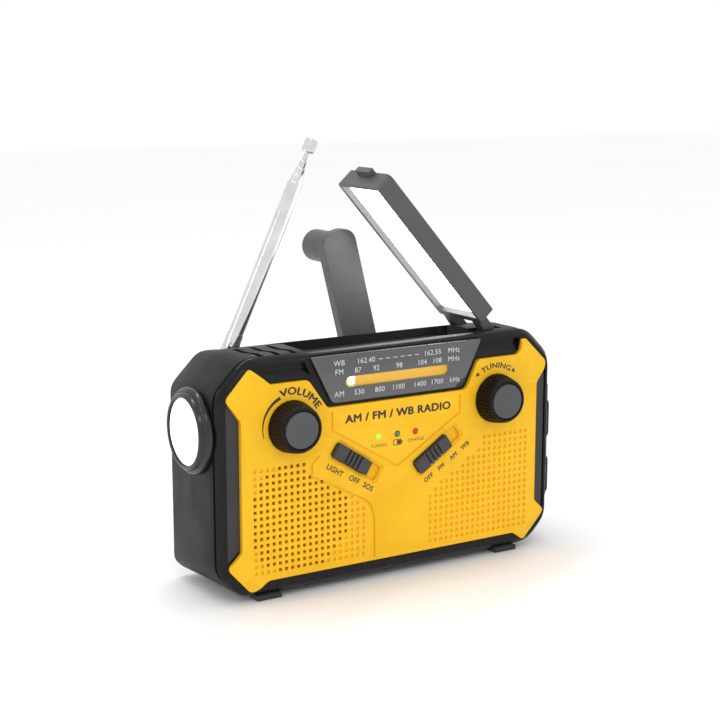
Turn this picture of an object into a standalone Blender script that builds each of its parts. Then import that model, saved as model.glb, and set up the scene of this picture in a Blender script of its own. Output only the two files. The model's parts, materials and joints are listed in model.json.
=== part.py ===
"""Emergency radio: hand crank, lamp lid with a solar panel, side flashlight, telescopic antenna.

The constants are in millimetres, and every mesh is turned to metres as it is made. The design frame has
X across the front from its middle, Y from the face of the yellow panel towards the back, and Z up from the
floor. The frame object moves all of it so that the origin is at the bottom centre of the whole object's box.
"""

import math

import bmesh
import bpy
from mathutils import Matrix, Vector

MM = 0.001
GAP = 0.3

# Case
HALF_WIDTH = 77.0
CASE_BOTTOM = 2.2
CASE_TOP = 92.4
CORNER_ROUND = 11.0
UPPER_SLOPE = 156.9
LOWER_SLOPE = 64.5
FRAME_FRONT = 1.4
FRAME_SIDE = 4.2
FRAME_BACK = 5.2
SIDE_POCKET_FLOOR = 3.4
GROOVE_DEPTH = 1.0
SHELL_FRONT = 5.5
SHELL_CREASE = 23.0
SHELL_TAPER_END = 43.5
SHELL_BACK = 46.0
TAPER_INSET = 3.4
BOTTOM_TAPER = 0.8
WALL = 2.2
BACK_WALL_INSIDE = 43.8

# Front panel
PANEL_BACK = 2.2
PANEL_TIP_TOP = 107.2
PANEL_TIP_BOTTOM = 41.8
TIP_SLOPE_WIDTH = 3.4
TIP_SLOPE_DEPTH = 1.4
GRILLE_PITCH = 2.6
GRILLE_INNER_X = 15.5
GRILLE_COLUMNS = 19
GRILLE_BOTTOM_Z = 11.7
GRILLE_ROWS = 16
GRILLE_HOLE = 1.1
SPEAKER_X = -43.0
SPEAKER_Z = 31.2
SPEAKER_OPEN_RADIUS = 22.1

# Controls on the front
KNOB_X = 46.8
KNOB_Z = 66.0
KNOB_FRONT = -8.5
KNOB_BACK = -0.4
KNOB_RADIUS = 10.1
KNOB_FLUTES = 22
SHAFT_RADIUS = 3.0
LED_SPACING = 8.4
LED_Z = 57.2
LED_RADIUS = 1.0
SWITCH_X = 18.6
SWITCH_Z = 48.6
SWITCH_TILT = math.radians(33.0)
SWITCH_POCKET = (23.6, 6.4)
SLIDER = (17.4, 5.6)
SLIDER_FRONT = -2.0
SLIDER_TRAVEL = 5.6
SWITCH_POCKET_FLOOR = 1.5
STEM = (3.0, 1.6)

# Dial
DIAL_BACK = 2.1
DIAL_FRONT = 0.1
POINTER_X = -19.0
POINTER_Z = 80.5
POINTER_SIZE = (2.8, 4.6)

# Flashlight on the left side
TORCH_Y = 19.5
TORCH_Z = 64.3
TORCH_REACH = -82.3
BEZEL_RADIUS = 16.3
BOSS_RADIUS = 13.7
BOSS_BORE = 12.6

# Port covers on the right side
COVER_FACE = 82.0
COVER_HINGE = (80.8, 27.8)
COVER_PAD_FACE = 80.3
COVER_SPANS = {"upper": (43.5, 60.0), "lower": (19.5, 36.0)}

# Lamp lid in the top, hinged at its right end
LID_PIVOT = (53.0, 88.5)
LID_OPEN = math.radians(48.3)
LID_SPAN = (-85.5, -10.5)
LID_UNDER = -1.5
LID_OUTER = 6.0
LID_FRONT = 6.8
LID_BACK = 36.3
RECESS_X = (-37.5, 43.2)
RECESS_Y = (6.5, 36.6)
RECESS_FLOOR = 86.5
ARM_SPANS = ((9.0, 14.0), (29.0, 34.0))

# Antenna, hinged behind the lid
ANTENNA_PIVOT = (-52.0, 41.2, 86.0)
ANTENNA_LEAN = math.radians(25.3)
ANTENNA_TUBE = 72.8
ANTENNA_STEP = 3.0
ANTENNA_TIP_BASE = 85.4
ANTENNA_TIP_END = 91.0
ANTENNA_RADII = ((3.0, 2.65), (2.45, 2.15), (1.95, 1.65), (1.45, 1.15))
ROD_RADIUS = 0.9
TIP_RADIUS = 2.6
CHANNEL_X = (-57.0, 84.0)
CHANNEL_FRONT = 37.8
CHANNEL_FLOOR = 82.4

# Crank on the back, and its gears
CRANK_X = 18.1
CRANK_Z = 69.9
CRANK_LEAN = math.radians(14.0)
CRANK_RADIUS = 55.0
ARM_HALF_WIDTH = 7.8
ARM_END_ROUND = 5.8
ARM_Y = (49.2, 54.2)
FOLD_Y = 51.7
CRANK_KNOB_RADIUS = 6.6
CRANK_KNOB_END = 71.0
GEAR_MODULE = 0.6
HUB_TEETH = 30
IDLER_SMALL_TEETH = 16
IDLER_LARGE_TEETH = 40
PINION_TEETH = 16
MESH_PLAY = 0.1

SCREW_X = 60.5
SCREW_ROWS = (17.0, 77.5)
FOOT_X = (50.0, 60.5)
FOOT_Y = {"front": (2.4, 9.0), "rear": (34.0, 41.0)}

SHIFT = Vector((-(TORCH_REACH + COVER_FACE) / 2, -(KNOB_FRONT + CRANK_KNOB_END) / 2, 0.0))

# name: (colour, roughness, metallic)
MATERIALS = {
    "yellow_plastic": ((1.0, 0.57, 0.03), 0.4, 0.0),
    "black_plastic": ((0.025, 0.025, 0.027), 0.5, 0.0),
    "grey_plastic": ((0.06, 0.06, 0.065), 0.45, 0.0),
    "rubber": ((0.02, 0.02, 0.02), 0.8, 0.0),
    "window": ((0.06, 0.06, 0.065), 0.1, 0.0),
    "dial_yellow": ((0.95, 0.7, 0.1), 0.5, 0.0),
    "white_plastic": ((0.9, 0.9, 0.88), 0.4, 0.0),
    "clear_lens": ((0.95, 0.97, 1.0), 0.05, 0.0),
    "mirror": ((0.9, 0.9, 0.9), 0.08, 1.0),
    "chrome": ((0.8, 0.8, 0.82), 0.12, 1.0),
    "steel": ((0.55, 0.55, 0.57), 0.3, 1.0),
    "circuit_board": ((0.02, 0.2, 0.07), 0.5, 0.0),
    "solar_cell": ((0.01, 0.015, 0.06), 0.15, 0.0),
    "cone_paper": ((0.05, 0.045, 0.04), 0.9, 0.0),
    "battery_wrap": ((0.05, 0.2, 0.5), 0.4, 0.0),
    "led_green": ((0.2, 0.9, 0.1), 0.2, 0.0),
    "led_dark": ((0.05, 0.3, 0.35), 0.2, 0.0),
    "led_red": ((0.8, 0.05, 0.03), 0.2, 0.0),
}


def clear_scene():
    for thing in list(bpy.data.objects):
        bpy.data.objects.remove(thing)


# ---------------------------------------------------------------- outlines


def rounded(corners, steps=3):
    """Outline whose corners, given as (u, v, radius), are arcs."""
    points = []
    for index, (u, v, radius) in enumerate(corners):
        if radius <= 0:
            points.append((u, v))
            continue
        here = Vector((u, v))
        back = (Vector(corners[index - 1][:2]) - here).normalized()
        ahead = (Vector(corners[(index + 1) % len(corners)][:2]) - here).normalized()
        half = back.angle(ahead) / 2
        centre = here + (back + ahead).normalized() * radius / math.sin(half)
        start = here + back * radius / math.tan(half) - centre
        end = here + ahead * radius / math.tan(half) - centre
        turn = start.angle_signed(end)
        for step in range(steps + 1):
            arm = Matrix.Rotation(-turn * step / steps, 2) @ start
            points.append(tuple(centre + arm))
    return points


def grown(corners, distance):
    """Corners of a counter-clockwise outline with every edge moved outwards."""
    result = []
    for index, (u, v, radius) in enumerate(corners):
        here = Vector((u, v))
        incoming = (here - Vector(corners[index - 1][:2])).normalized()
        leaving = (Vector(corners[(index + 1) % len(corners)][:2]) - here).normalized()
        normal_in = Vector((incoming.y, -incoming.x))
        normal_out = Vector((leaving.y, -leaving.x))
        moved = here + (normal_in + normal_out) * distance / (1 + normal_in.dot(normal_out))
        convex = incoming.cross(leaving) > 0
        result.append((moved.x, moved.y, max(radius + (distance if convex else -distance), 0.0)))
    return result


def case_corners(inset, side, under=None, spread=0.0):
    """The case's octagon, moved inwards by its own amount at the top, the sides and the bottom.

    The upper slope is where x + z is constant, and the lower one where x - z is. The lower one moves out
    by spread.
    """
    half = HALF_WIDTH - side
    low = CASE_BOTTOM + (inset if under is None else under)
    high = CASE_TOP - inset
    upper = UPPER_SLOPE - inset * math.sqrt(2)
    lower = LOWER_SLOPE + spread - (inset if under is None else under) * math.sqrt(2)
    radius = CORNER_ROUND - inset
    low_radius = min(radius, 1.1 * (half - lower - low))
    right = [
        (lower + low, low, low_radius),
        (half, half - lower, low_radius),
        (half, upper - half, radius),
        (upper - high, high, radius),
    ]
    return right + [(-u, v, r) for u, v, r in reversed(right)]


def panel_corners():
    """The yellow panel's outline: pointed corners, side notches and a step beside the dial."""
    right = [
        (56.8, 8.3, 3.0),
        (63.4, 3.8, 2.2),
        (73.5, 15.0, 2.0),
        (67.7, 20.6, 2.0),
        (67.7, 70.0, 2.0),
        (73.5, 78.2, 2.0),
        (62.7, 88.5, 1.0),
        (60.3, 88.5, 0.6),
        (59.2, 82.5, 3.0),
        (38.2, 82.5, 2.5),
        (32.6, 71.0, 3.0),
    ]
    left_top = [(-31.2, 71.0, 3.0), (-39.4, 82.5, 2.5), (-55.2, 82.5, 1.2), (-63.4, 89.0, 1.2)]
    left_side = [(-u, v, radius) for u, v, radius in reversed(right[:6])]
    return right + left_top + left_side


def dial_corners():
    return [(30.6, 72.5, 2.5), (39.6, 90.7, 0.6), (-38.2, 90.7, 0.6), (-29.0, 72.5, 2.5)]


def dial_opening_corners():
    return [(27.0, 74.6, 1.5), (33.6, 88.2, 1.5), (-33.6, 88.2, 1.5), (-27.0, 74.6, 1.5)]


def bar_outline(size, radius=0.0, tilt=0.0, centre=(0.0, 0.0), steps=2):
    """Rectangle of the given size, rounded, turned and moved."""
    half_u, half_v = size[0] / 2, size[1] / 2
    signs = ((1, -1), (1, 1), (-1, 1), (-1, -1))
    points = rounded([(su * half_u, sv * half_v, radius) for su, sv in signs], steps)
    turn = Matrix.Rotation(tilt, 2)
    return [tuple(turn @ Vector(point) + Vector(centre)) for point in points]


def circle(radius, segments, centre=(0.0, 0.0)):
    angles = [math.tau * index / segments for index in range(segments)]
    return [(centre[0] + radius * math.cos(a), centre[1] + radius * math.sin(a)) for a in angles]


def gear_outline(teeth, tooth_at, centre):
    """Straight-sided teeth, one of them pointing along the angle tooth_at."""
    pitch_radius = GEAR_MODULE * teeth / 2
    root = pitch_radius - 1.2 * GEAR_MODULE
    tip = pitch_radius + 0.85 * GEAR_MODULE
    step = math.tau / teeth
    points = []
    for index in range(teeth):
        middle = tooth_at + index * step
        for share, radius in ((-0.26, root), (-0.1, tip), (0.1, tip), (0.26, root)):
            angle = middle + share * step
            points.append((centre[0] + radius * math.cos(angle), centre[1] + radius * math.sin(angle)))
    return points


# ---------------------------------------------------------------- solids

PLACES = {
    "X": lambda u, v, along: (along, u, v),
    "Y": lambda u, v, along: (u, along, v),
    "Z": lambda u, v, along: (u, v, along),
}


def new_object(name, bm):
    bmesh.ops.recalc_face_normals(bm, faces=bm.faces)
    mesh = bpy.data.meshes.new(name)
    bm.to_mesh(mesh)
    bm.free()
    thing = bpy.data.objects.new(name, mesh)
    bpy.context.scene.collection.objects.link(thing)
    return thing


def add_loft(bm, loops):
    """Closed body through loops of equal length."""
    rings = [[bm.verts.new(Vector(point) * MM) for point in loop] for loop in loops]
    count = len(rings[0])
    for first, second in zip(rings, rings[1:]):
        for index in range(count):
            after = (index + 1) % count
            bm.faces.new((first[index], first[after], second[after], second[index]))
    bm.faces.new(rings[0])
    bm.faces.new(rings[-1])


def loft(name, loops):
    bm = bmesh.new()
    add_loft(bm, loops)
    return new_object(name, bm)


def prism(name, outline, low, high, axis="Y"):
    """Outline pushed along an axis."""
    place = PLACES[axis]
    return loft(name, [[place(u, v, along) for u, v in outline] for along in (low, high)])


def box(name, low, high):
    outline = [(low[0], low[2]), (high[0], low[2]), (high[0], high[2]), (low[0], high[2])]
    return prism(name, outline, low[1], high[1])


def turned(name, profile, segments, axis="Y", centre=(0.0, 0.0)):
    """Profile of (along, radius) points turned about an axis; ends with radius 0 close on the axis."""
    place = PLACES[axis]
    bm = bmesh.new()
    rings = []
    for along, radius in profile:
        points = circle(radius, segments, centre) if radius > 0 else [centre]
        rings.append([bm.verts.new(Vector(place(u, v, along)) * MM) for u, v in points])
    pairs = list(zip(rings, rings[1:]))
    if len(rings[0]) > 1:
        pairs.append((rings[-1], rings[0]))
    for first, second in pairs:
        for index in range(segments):
            after = (index + 1) % segments
            corners = [first[index % len(first)], first[after % len(first)]]
            corners += [second[after % len(second)], second[index % len(second)]]
            bm.faces.new(list(dict.fromkeys(corners)))
    return new_object(name, bm)


def pin(name, radius, low, high, segments=16, axis="Y", centre=(0.0, 0.0)):
    profile = [(low, 0.0), (low, radius), (high, radius), (high, 0.0)]
    return turned(name, profile, segments, axis, centre)


def combine(target, tool, operation):
    """Boolean of two bodies, kept as the target's own mesh."""
    modifier = target.modifiers.new("combine", "BOOLEAN")
    modifier.operation = operation
    modifier.solver = "EXACT"
    modifier.object = tool
    depsgraph = bpy.context.evaluated_depsgraph_get()
    result = bpy.data.meshes.new_from_object(target.evaluated_get(depsgraph))
    target.modifiers.clear()
    target.data = result
    bpy.data.objects.remove(tool)


def carve(target, *tools):
    for tool in tools:
        combine(target, tool, "DIFFERENCE")
    return target


def fuse(target, *tools):
    for tool in tools:
        combine(target, tool, "UNION")
    return target


def finish(thing, material, parent, smooth=True):
    """Gives a piece its material and its parent."""
    thing.data.materials.clear()
    thing.data.materials.append(MATERIAL_BLOCKS[material])
    thing.parent = parent
    if smooth:
        thing.data.shade_smooth()
        thing.data.set_sharp_from_angle(angle=math.radians(35))
    return thing


def make_materials():
    blocks = {}
    for name, (colour, roughness, metallic) in MATERIALS.items():
        block = bpy.data.materials.new(name)
        block.use_nodes = True
        shader = block.node_tree.nodes["Principled BSDF"]
        shader.inputs["Base Color"].default_value = (*colour, 1.0)
        shader.inputs["Roughness"].default_value = roughness
        shader.inputs["Metallic"].default_value = metallic
        blocks[name] = block
    return blocks


def guide(name, location, parent=None, rotation=(0.0, 0.0, 0.0)):
    """Empty on a joint's axis, for the pieces that move about it."""
    empty = bpy.data.objects.new(name, None)
    bpy.context.scene.collection.objects.link(empty)
    empty.location = Vector(location) * MM
    empty.rotation_euler = rotation
    empty.parent = parent
    return empty


# ---------------------------------------------------------------- case


def case_loop(y, *insets):
    return [(x, y, z) for x, z in rounded(case_corners(*insets))]


def case_solid(name, sections):
    """Loft through the case's outlines; its faces twist a little, so they are made triangles."""
    solid = loft(name, [case_loop(*section) for section in sections])
    bm = bmesh.new()
    bm.from_mesh(solid.data)
    bmesh.ops.triangulate(bm, faces=bm.faces)
    bm.to_mesh(solid.data)
    bm.free()
    return solid


def make_front_frame(parent):
    sections = (
        (FRAME_FRONT, 2.2, 2.7),
        (2.4, 1.0, 1.8),
        (3.3, 0.3, 1.2),
        (FRAME_SIDE, 0.0, 0.6),
        (FRAME_SIDE + 0.01, GROOVE_DEPTH, 0.6 + GROOVE_DEPTH),
        (FRAME_BACK, GROOVE_DEPTH, 0.6 + GROOVE_DEPTH),
    )
    frame = case_solid("front_frame", sections)
    carve(
        frame,
        prism("seat", rounded(grown(panel_corners(), GAP)), -1.0, PANEL_BACK + GAP),
        prism("dial_seat", rounded(grown(dial_corners(), GAP)), -1.0, DIAL_BACK + GAP),
        prism("dial_opening", rounded(dial_opening_corners()), 0.0, 9.0),
        prism("centre", rounded(frame_opening_corners(), 2), 0.0, 9.0),
        *top_pockets(),
        *side_pockets(),
    )
    for x in (-SCREW_X, SCREW_X):
        for z in SCREW_ROWS:
            fuse(frame, pin("post", 3.2, FRAME_BACK - 1.0, BACK_WALL_INSIDE - GAP, 12, centre=(x, z)))
            carve(frame, pin("pilot", 1.3, BACK_WALL_INSIDE - 12.0, SHELL_BACK, 8, centre=(x, z)))
    finish(frame, "black_plastic", parent)


def frame_opening_corners():
    """Opening behind the yellow panel; its corners stay solid for the screw posts."""
    right = [
        (50.0, 14.0, 1.0),
        (62.5, 26.5, 1.0),
        (62.5, 67.0, 1.0),
        (53.5, 76.0, 1.0),
        (40.5, 76.0, 1.0),
        (34.4, 67.5, 1.0),
    ]
    return right + [(-x, z, radius) for x, z, radius in reversed(right)]


def side_pockets():
    """Sunk strips beside the straight sides of the yellow panel."""
    right = [
        (66.0, 22.8, 0.3),
        (73.2, 16.0, 0.6),
        (73.2, 77.2, 0.6),
        (66.0, 69.2, 0.3),
    ]
    left = [(-x, z, radius) for x, z, radius in reversed(right)]
    return [prism("side_pocket", rounded(outline), -1.0, SIDE_POCKET_FLOOR) for outline in (right, left)]


def top_pockets():
    """Two grooves beside the dial, each with a floor that slopes up to the yellow panel."""
    profile = ((0.9, 83.1), (FRAME_FRONT, 83.5), (3.2, 86.8), (3.2, 89.2), (-1.0, 89.2), (-1.0, 83.1))
    ends = {
        "right_pocket": ((37.3, 0.49), (58.8, 0.1)),
        "left_pocket": ((-37.3, -0.49), (-56.2, -1.15)),
    }
    tools = []
    for name, pair in ends.items():
        loops = [[(x + (z - 83.1) * slope, y, z) for y, z in profile] for x, slope in pair]
        tools.append(loft(name, loops))
    return tools


def grille_cells(side):
    """Centres of one side's grille squares; the rows shorten along the raised panel's slope."""
    for row in range(GRILLE_ROWS):
        filled = max(9, min(GRILLE_COLUMNS, int(20.05 - 1.52 * (row - 7))))
        for column in range(GRILLE_COLUMNS - filled, GRILLE_COLUMNS):
            yield side * (GRILLE_INNER_X + column * GRILLE_PITCH), GRILLE_BOTTOM_Z + row * GRILLE_PITCH


def make_grille_holes():
    """The squares in front of the speaker, as one cutter."""
    bm = bmesh.new()
    for x, z in grille_cells(-1):
        if math.hypot(x - SPEAKER_X, z - SPEAKER_Z) < SPEAKER_OPEN_RADIUS:
            outline = bar_outline((GRILLE_HOLE, GRILLE_HOLE), centre=(x, z))
            add_loft(bm, [[(u, y, v) for u, v in outline] for y in (-1.0, PANEL_BACK + 1.0)])
    return new_object("grille_holes", bm)


def tip_slopes():
    """Wedges that slope the panel's four pointed corners backwards."""
    tools = []
    for side in (-1, 1):
        for up, reach in ((1, PANEL_TIP_TOP), (-1, PANEL_TIP_BOTTOM)):
            outwards = Vector((side, 0.0, up)) / math.sqrt(2)
            along = Vector((side, 0.0, -up)) / math.sqrt(2)
            rise = TIP_SLOPE_DEPTH / TIP_SLOPE_WIDTH
            start = reach - TIP_SLOPE_WIDTH
            corners = (
                (start - 0.3 / rise, -0.3),
                (reach + 1.0, TIP_SLOPE_DEPTH + rise),
                (reach + 1.0, -0.3),
            )
            middle = side * 68.0 * along.x + (84.0 if up > 0 else 10.0) * along.z
            loops = []
            for offset in (-14.0, 14.0):
                base = along * (middle + offset)
                loops.append([tuple(base + outwards * s + Vector((0.0, y, 0.0))) for s, y in corners])
            tools.append(loft("tip_slope", loops))
    return tools


def make_front_panel(parent):
    panel = prism("front_panel", rounded(panel_corners()), 0.0, PANEL_BACK)
    carve(panel, make_grille_holes(), *tip_slopes())
    for side in (-1, 1):
        tilt = side * SWITCH_TILT
        centre = Vector((side * SWITCH_X, SWITCH_Z))
        travel = Matrix.Rotation(tilt, 2) @ Vector((1.0, 0.0))
        slit_centre = centre + travel * (SLIDER_TRAVEL / 2 + slider_rest())
        slit = (STEM[0] + SLIDER_TRAVEL + 2 * GAP, STEM[1] + 2 * GAP)
        carve(
            panel,
            prism("shaft_hole", circle(SHAFT_RADIUS + 0.6, 20, (side * KNOB_X, KNOB_Z)), -1.0, 4.0),
            prism("pocket", bar_outline(SWITCH_POCKET, 1.2, tilt, centre), -1.0, SWITCH_POCKET_FLOOR),
            prism("slit", bar_outline(slit, 0.0, tilt, slit_centre), 0.5, 4.0),
        )
    for index in (-1, 0, 1):
        outline = circle(LED_RADIUS + GAP, 12, (index * LED_SPACING, LED_Z))
        carve(panel, prism("led_hole", outline, -1.0, 4.0))
    finish(panel, "yellow_plastic", parent)


def recess_room(grow):
    """The lid's recess, made larger on every side."""
    low = (RECESS_X[0] - grow, RECESS_Y[0] - grow, RECESS_FLOOR - grow)
    return box("recess", low, (RECESS_X[1] + grow, RECESS_Y[1] + grow, CASE_TOP + 5.0))


def hinge_slots():
    """Slots beside the recess in which the lid's two arms turn."""
    slots = []
    for start, end in ARM_SPANS:
        low = (RECESS_X[1] - 3.0, start - 0.4, LID_PIVOT[1] - 3.0)
        slots.append(box("hinge_slot", low, (LID_PIVOT[0] + 3.4, end + 0.4, CASE_TOP + 5.0)))
    return slots


def hinge_block():
    """Keeps the case solid round the lid's hinge pin."""
    low = (RECESS_X[1], 4.0, LID_PIVOT[1] - 4.6)
    high = (LID_PIVOT[0] + 5.0, 38.2, CASE_TOP + 5.0)
    return box("hinge_block", low, high)


def channel_room(grow):
    """The channel along the top back edge where the antenna lies when stored."""
    return box(
        "channel",
        (CHANNEL_X[0] - grow, CHANNEL_FRONT - grow, CHANNEL_FLOOR - grow),
        (CHANNEL_X[1] + grow, SHELL_BACK + 5.0, CASE_TOP + 5.0),
    )


def top_groove(x):
    """Grip groove in the top, bent half way."""
    path = ((5.0, 0.0), (11.0, 0.0), (15.0, -2.0), (25.0, -2.0))
    loops = []
    for y, aside in path:
        left, right = x + aside - 1.1, x + aside + 1.1
        loops.append([(left, y, 91.2), (right, y, 91.2), (right, y, 95.0), (left, y, 95.0)])
    return loft("top_groove", loops)


def cover_pad():
    """Raised pad on the right side that carries the port covers."""
    outline = [(7.6, 17.0, 1.0), (30.0, 17.0, 4.0), (30.0, 69.0, 4.0), (7.6, 69.0, 1.0)]
    loops = []
    for x, inset in ((HALF_WIDTH - 1.2, -1.0), (COVER_PAD_FACE - 1.2, 0.5), (COVER_PAD_FACE, 2.0)):
        shape = []
        for y, z, radius in outline:
            inwards = 0.3 * inset if y < 10.0 else -inset
            shape.append((y + inwards, z + math.copysign(inset, 40.0 - z), radius))
        loops.append([(x, y, z) for y, z in rounded(shape)])
    return loft("cover_pad", loops)


def make_rear_shell(parent):
    side_taper = TAPER_INSET - 1.5
    outer = (
        (SHELL_FRONT, 0.2, 0.4, 0.0, 0.0),
        (8.0, 0.0, 0.0, 0.0, 0.1),
        (SHELL_CREASE, 0.0, 0.0, 0.0, 0.7),
        (SHELL_TAPER_END, TAPER_INSET, side_taper, BOTTOM_TAPER, 4.0),
        (SHELL_BACK - 0.8, TAPER_INSET + 1.2, side_taper + 1.2, BOTTOM_TAPER + 1.0, 4.0),
        (SHELL_BACK, TAPER_INSET + 3.1, side_taper + 3.1, BOTTOM_TAPER + 2.6, 4.0),
    )
    inner = (
        (SHELL_FRONT - 1.0, WALL, WALL, WALL, 0.0),
        (SHELL_CREASE, WALL, WALL, WALL, 0.7),
        (BACK_WALL_INSIDE, TAPER_INSET + WALL, side_taper + WALL, BOTTOM_TAPER + WALL, 4.0),
    )
    shell = case_solid("rear_shell", outer)
    fuse(shell, pin("torch_boss", BOSS_RADIUS, -79.6, -71.0, 32, "X", (TORCH_Y, TORCH_Z)))
    fuse(shell, cover_pad())
    cavity = case_solid("cavity", inner)
    carve(cavity, recess_room(1.6), hinge_block(), channel_room(1.6))
    carve(cavity, pin("boss_wall", BOSS_RADIUS, -79.6, -71.0, 32, "X", (TORCH_Y, TORCH_Z)))
    carve(
        shell,
        cavity,
        recess_room(0.0),
        *hinge_slots(),
        channel_room(0.0),
        pin("torch_bore", BOSS_BORE, -90.0, -60.0, 32, "X", (TORCH_Y, TORCH_Z)),
        pin("hinge_bore", 1.3, 6.2, 36.9, 10, centre=LID_PIVOT),
        pin("antenna_bore", 1.3, 36.7, 38.5, 10, centre=(ANTENNA_PIVOT[0], ANTENNA_PIVOT[2])),
        pin("crank_bore", 4.3, 40.0, 50.0, 20, centre=(CRANK_X, CRANK_Z)),
        box("battery_opening", (-40.3, 42.0, 10.2), (16.3, 50.0, 23.8)),
    )
    carve(shell, *[top_groove(x) for x in (-42.0, -49.0, -56.0)])
    for low, high in COVER_SPANS.values():
        carve(shell, box("port_opening", (70.0, 10.4, low + 2.5), (84.0, 22.6, high - 2.5)))
    for x in (-SCREW_X, SCREW_X):
        for z in SCREW_ROWS:
            carve(
                shell,
                pin("screw_hole", 1.4, 40.0, 50.0, 12, centre=(x, z)),
                pin("screw_seat", 3.2, SHELL_BACK - 1.4, 50.0, 16, centre=(x, z)),
            )
    finish(shell, "black_plastic", parent)


def make_case_trim(parent):
    for side, side_name in ((-1, "left"), (1, "right")):
        for row, z in zip(("lower", "upper"), SCREW_ROWS):
            profile = (
                (34.0, 0.0),
                (34.0, 1.0),
                (44.9, 1.0),
                (44.9, 2.8),
                (45.8, 2.8),
                (46.0, 2.4),
                (46.0, 0.0),
            )
            screw = turned(f"case_screw_{row}_{side_name}", profile, 12, centre=(side * SCREW_X, z))
            finish(screw, "steel", parent)
        for place, (low, high) in FOOT_Y.items():
            foot = foot_block(f"foot_{place}_{side_name}", side, low, high)
            finish(foot, "rubber", parent)
    door = box("battery_door", (-40.0, 44.2, 10.5), (16.0, SHELL_BACK, 23.5))
    finish(door, "black_plastic", parent)
    battery = pin("battery_cell", 9.2, -44.0, 21.0, 24, "X", (32.0, 17.0))
    finish(battery, "battery_wrap", parent)


def foot_block(name, side, low, high):
    """Rubber foot whose top follows the case's bottom."""
    tops = []
    for y in (low, high):
        taper = max(0.0, (y - SHELL_CREASE) / (SHELL_TAPER_END - SHELL_CREASE)) * BOTTOM_TAPER
        tops.append(CASE_BOTTOM + taper - GAP)
    xs = sorted(side * x for x in FOOT_X)
    loops = []
    for y, top in zip((low, high), tops):
        loops.append([(xs[0], y, 0.0), (xs[1], y, 0.0), (xs[1], y, top), (xs[0], y, top)])
    return loft(name, loops)


# ---------------------------------------------------------------- dial and front controls


def make_dial(parent):
    window = prism("dial_window", rounded(dial_corners()), DIAL_FRONT, DIAL_BACK)
    finish(window, "window", parent, smooth=False)
    plate = prism("dial_plate", rounded(grown(dial_opening_corners(), -GAP)), 4.0, 5.0)
    carve(plate, prism("guide_slot", bar_outline((47.0, 2.2), 0.0, centre=(0.0, POINTER_Z)), 3.0, 6.0))
    finish(plate, "dial_yellow", parent)
    carriage = guide("dial_pointer_axis", (POINTER_X, 3.1, POINTER_Z), parent)
    pointer = prism("dial_pointer", bar_outline(POINTER_SIZE, 0.4), -0.5, 0.5)
    fuse(pointer, prism("pointer_stem", bar_outline((1.6, 1.4)), 0.0, 3.2))
    finish(pointer, "white_plastic", carriage)


def fluted_loop(radius, y, depth):
    count = 2 * KNOB_FLUTES
    loop = []
    for index in range(count):
        angle = math.tau * index / count
        reach = radius - (depth if index % 2 else 0.0)
        loop.append((reach * math.cos(angle), y, reach * math.sin(angle)))
    return loop


def make_knob(name, side, shaft_end, parent):
    """Fluted knob with its shaft, on its own axis."""
    axis = guide(name + "_axis", (side * KNOB_X, 0.0, KNOB_Z), parent)
    front = KNOB_RADIUS - 1.35
    loops = [
        fluted_loop(front - 0.9, KNOB_FRONT, 0.0),
        fluted_loop(front, KNOB_FRONT + 0.9, 0.35),
        fluted_loop(KNOB_RADIUS, KNOB_BACK - 0.8, 0.5),
        fluted_loop(KNOB_RADIUS, KNOB_BACK, 0.0),
        fluted_loop(SHAFT_RADIUS, KNOB_BACK + 0.01, 0.0),
        fluted_loop(SHAFT_RADIUS, shaft_end, 0.0),
    ]
    finish(loft(name, loops), "black_plastic", axis)


def make_control_bodies(parent):
    """The volume and tuning controls behind the panel, each with a hole for its knob's shaft."""
    sizes = {"volume_control": (-1, 16.0, 10.8), "tuning_capacitor": (1, 20.0, 14.1)}
    for name, (side, width, back) in sizes.items():
        low = (side * KNOB_X - width / 2, 5.6, KNOB_Z - width / 2)
        high = (side * KNOB_X + width / 2, back, KNOB_Z + width / 2)
        body = box(name, low, high)
        hole = pin("shaft_bore", SHAFT_RADIUS + GAP + 0.05, 5.0, 10.0, 24, centre=(side * KNOB_X, KNOB_Z))
        finish(carve(body, hole), "grey_plastic", parent, smooth=False)


def slider_rest():
    """Place of a slider's middle along its pocket, from the pocket's middle, at the start of its travel."""
    return -SLIDER_TRAVEL / 2


def make_switch(name, side, parent):
    """Slide switch: ribbed slider, its stem, and the body that the stem moves in."""
    tilt = side * SWITCH_TILT
    travel = Vector((math.cos(tilt), 0.0, math.sin(tilt)))
    rest = Vector((side * SWITCH_X, 0.0, SWITCH_Z)) + travel * slider_rest()
    axis = guide(name + "_slider_axis", rest, parent, (0.0, -tilt, 0.0))
    slider = prism(name + "_slider", bar_outline(SLIDER, 0.8), SLIDER_FRONT, SWITCH_POCKET_FLOOR - GAP)
    fuse(slider, prism("stem", bar_outline(STEM), 0.0, 7.4))
    for index in range(-3, 4):
        groove = bar_outline((0.6, SLIDER[1] + 2.0), centre=(index * 1.3, 0.0))
        carve(slider, prism("rib_gap", groove, SLIDER_FRONT - 1.0, SLIDER_FRONT + 0.5))
    finish(slider, "black_plastic", axis)
    middle = (side * SWITCH_X, SWITCH_Z)
    body = prism(name + "_body", bar_outline((20.0, 7.0), 0.0, tilt, middle), 5.0, 10.0)
    room = (STEM[0] + SLIDER_TRAVEL + 0.8, STEM[1] + 0.8)
    carve(body, prism("stem_slot", bar_outline(room, 0.0, tilt, middle), 4.0, 8.0))
    finish(body, "steel", parent, smooth=False)


def make_leds(parent):
    lights = ((-1, "tuning", "led_green"), (0, "battery", "led_dark"), (1, "charge", "led_red"))
    for index, name, material in lights:
        profile = ((-0.3, 0.0), (-0.25, 0.6), (0.0, LED_RADIUS), (14.0, LED_RADIUS), (14.0, 0.0))
        led = turned(f"led_{name}", profile, 12, centre=(index * LED_SPACING, LED_Z))
        finish(led, material, parent)


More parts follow.
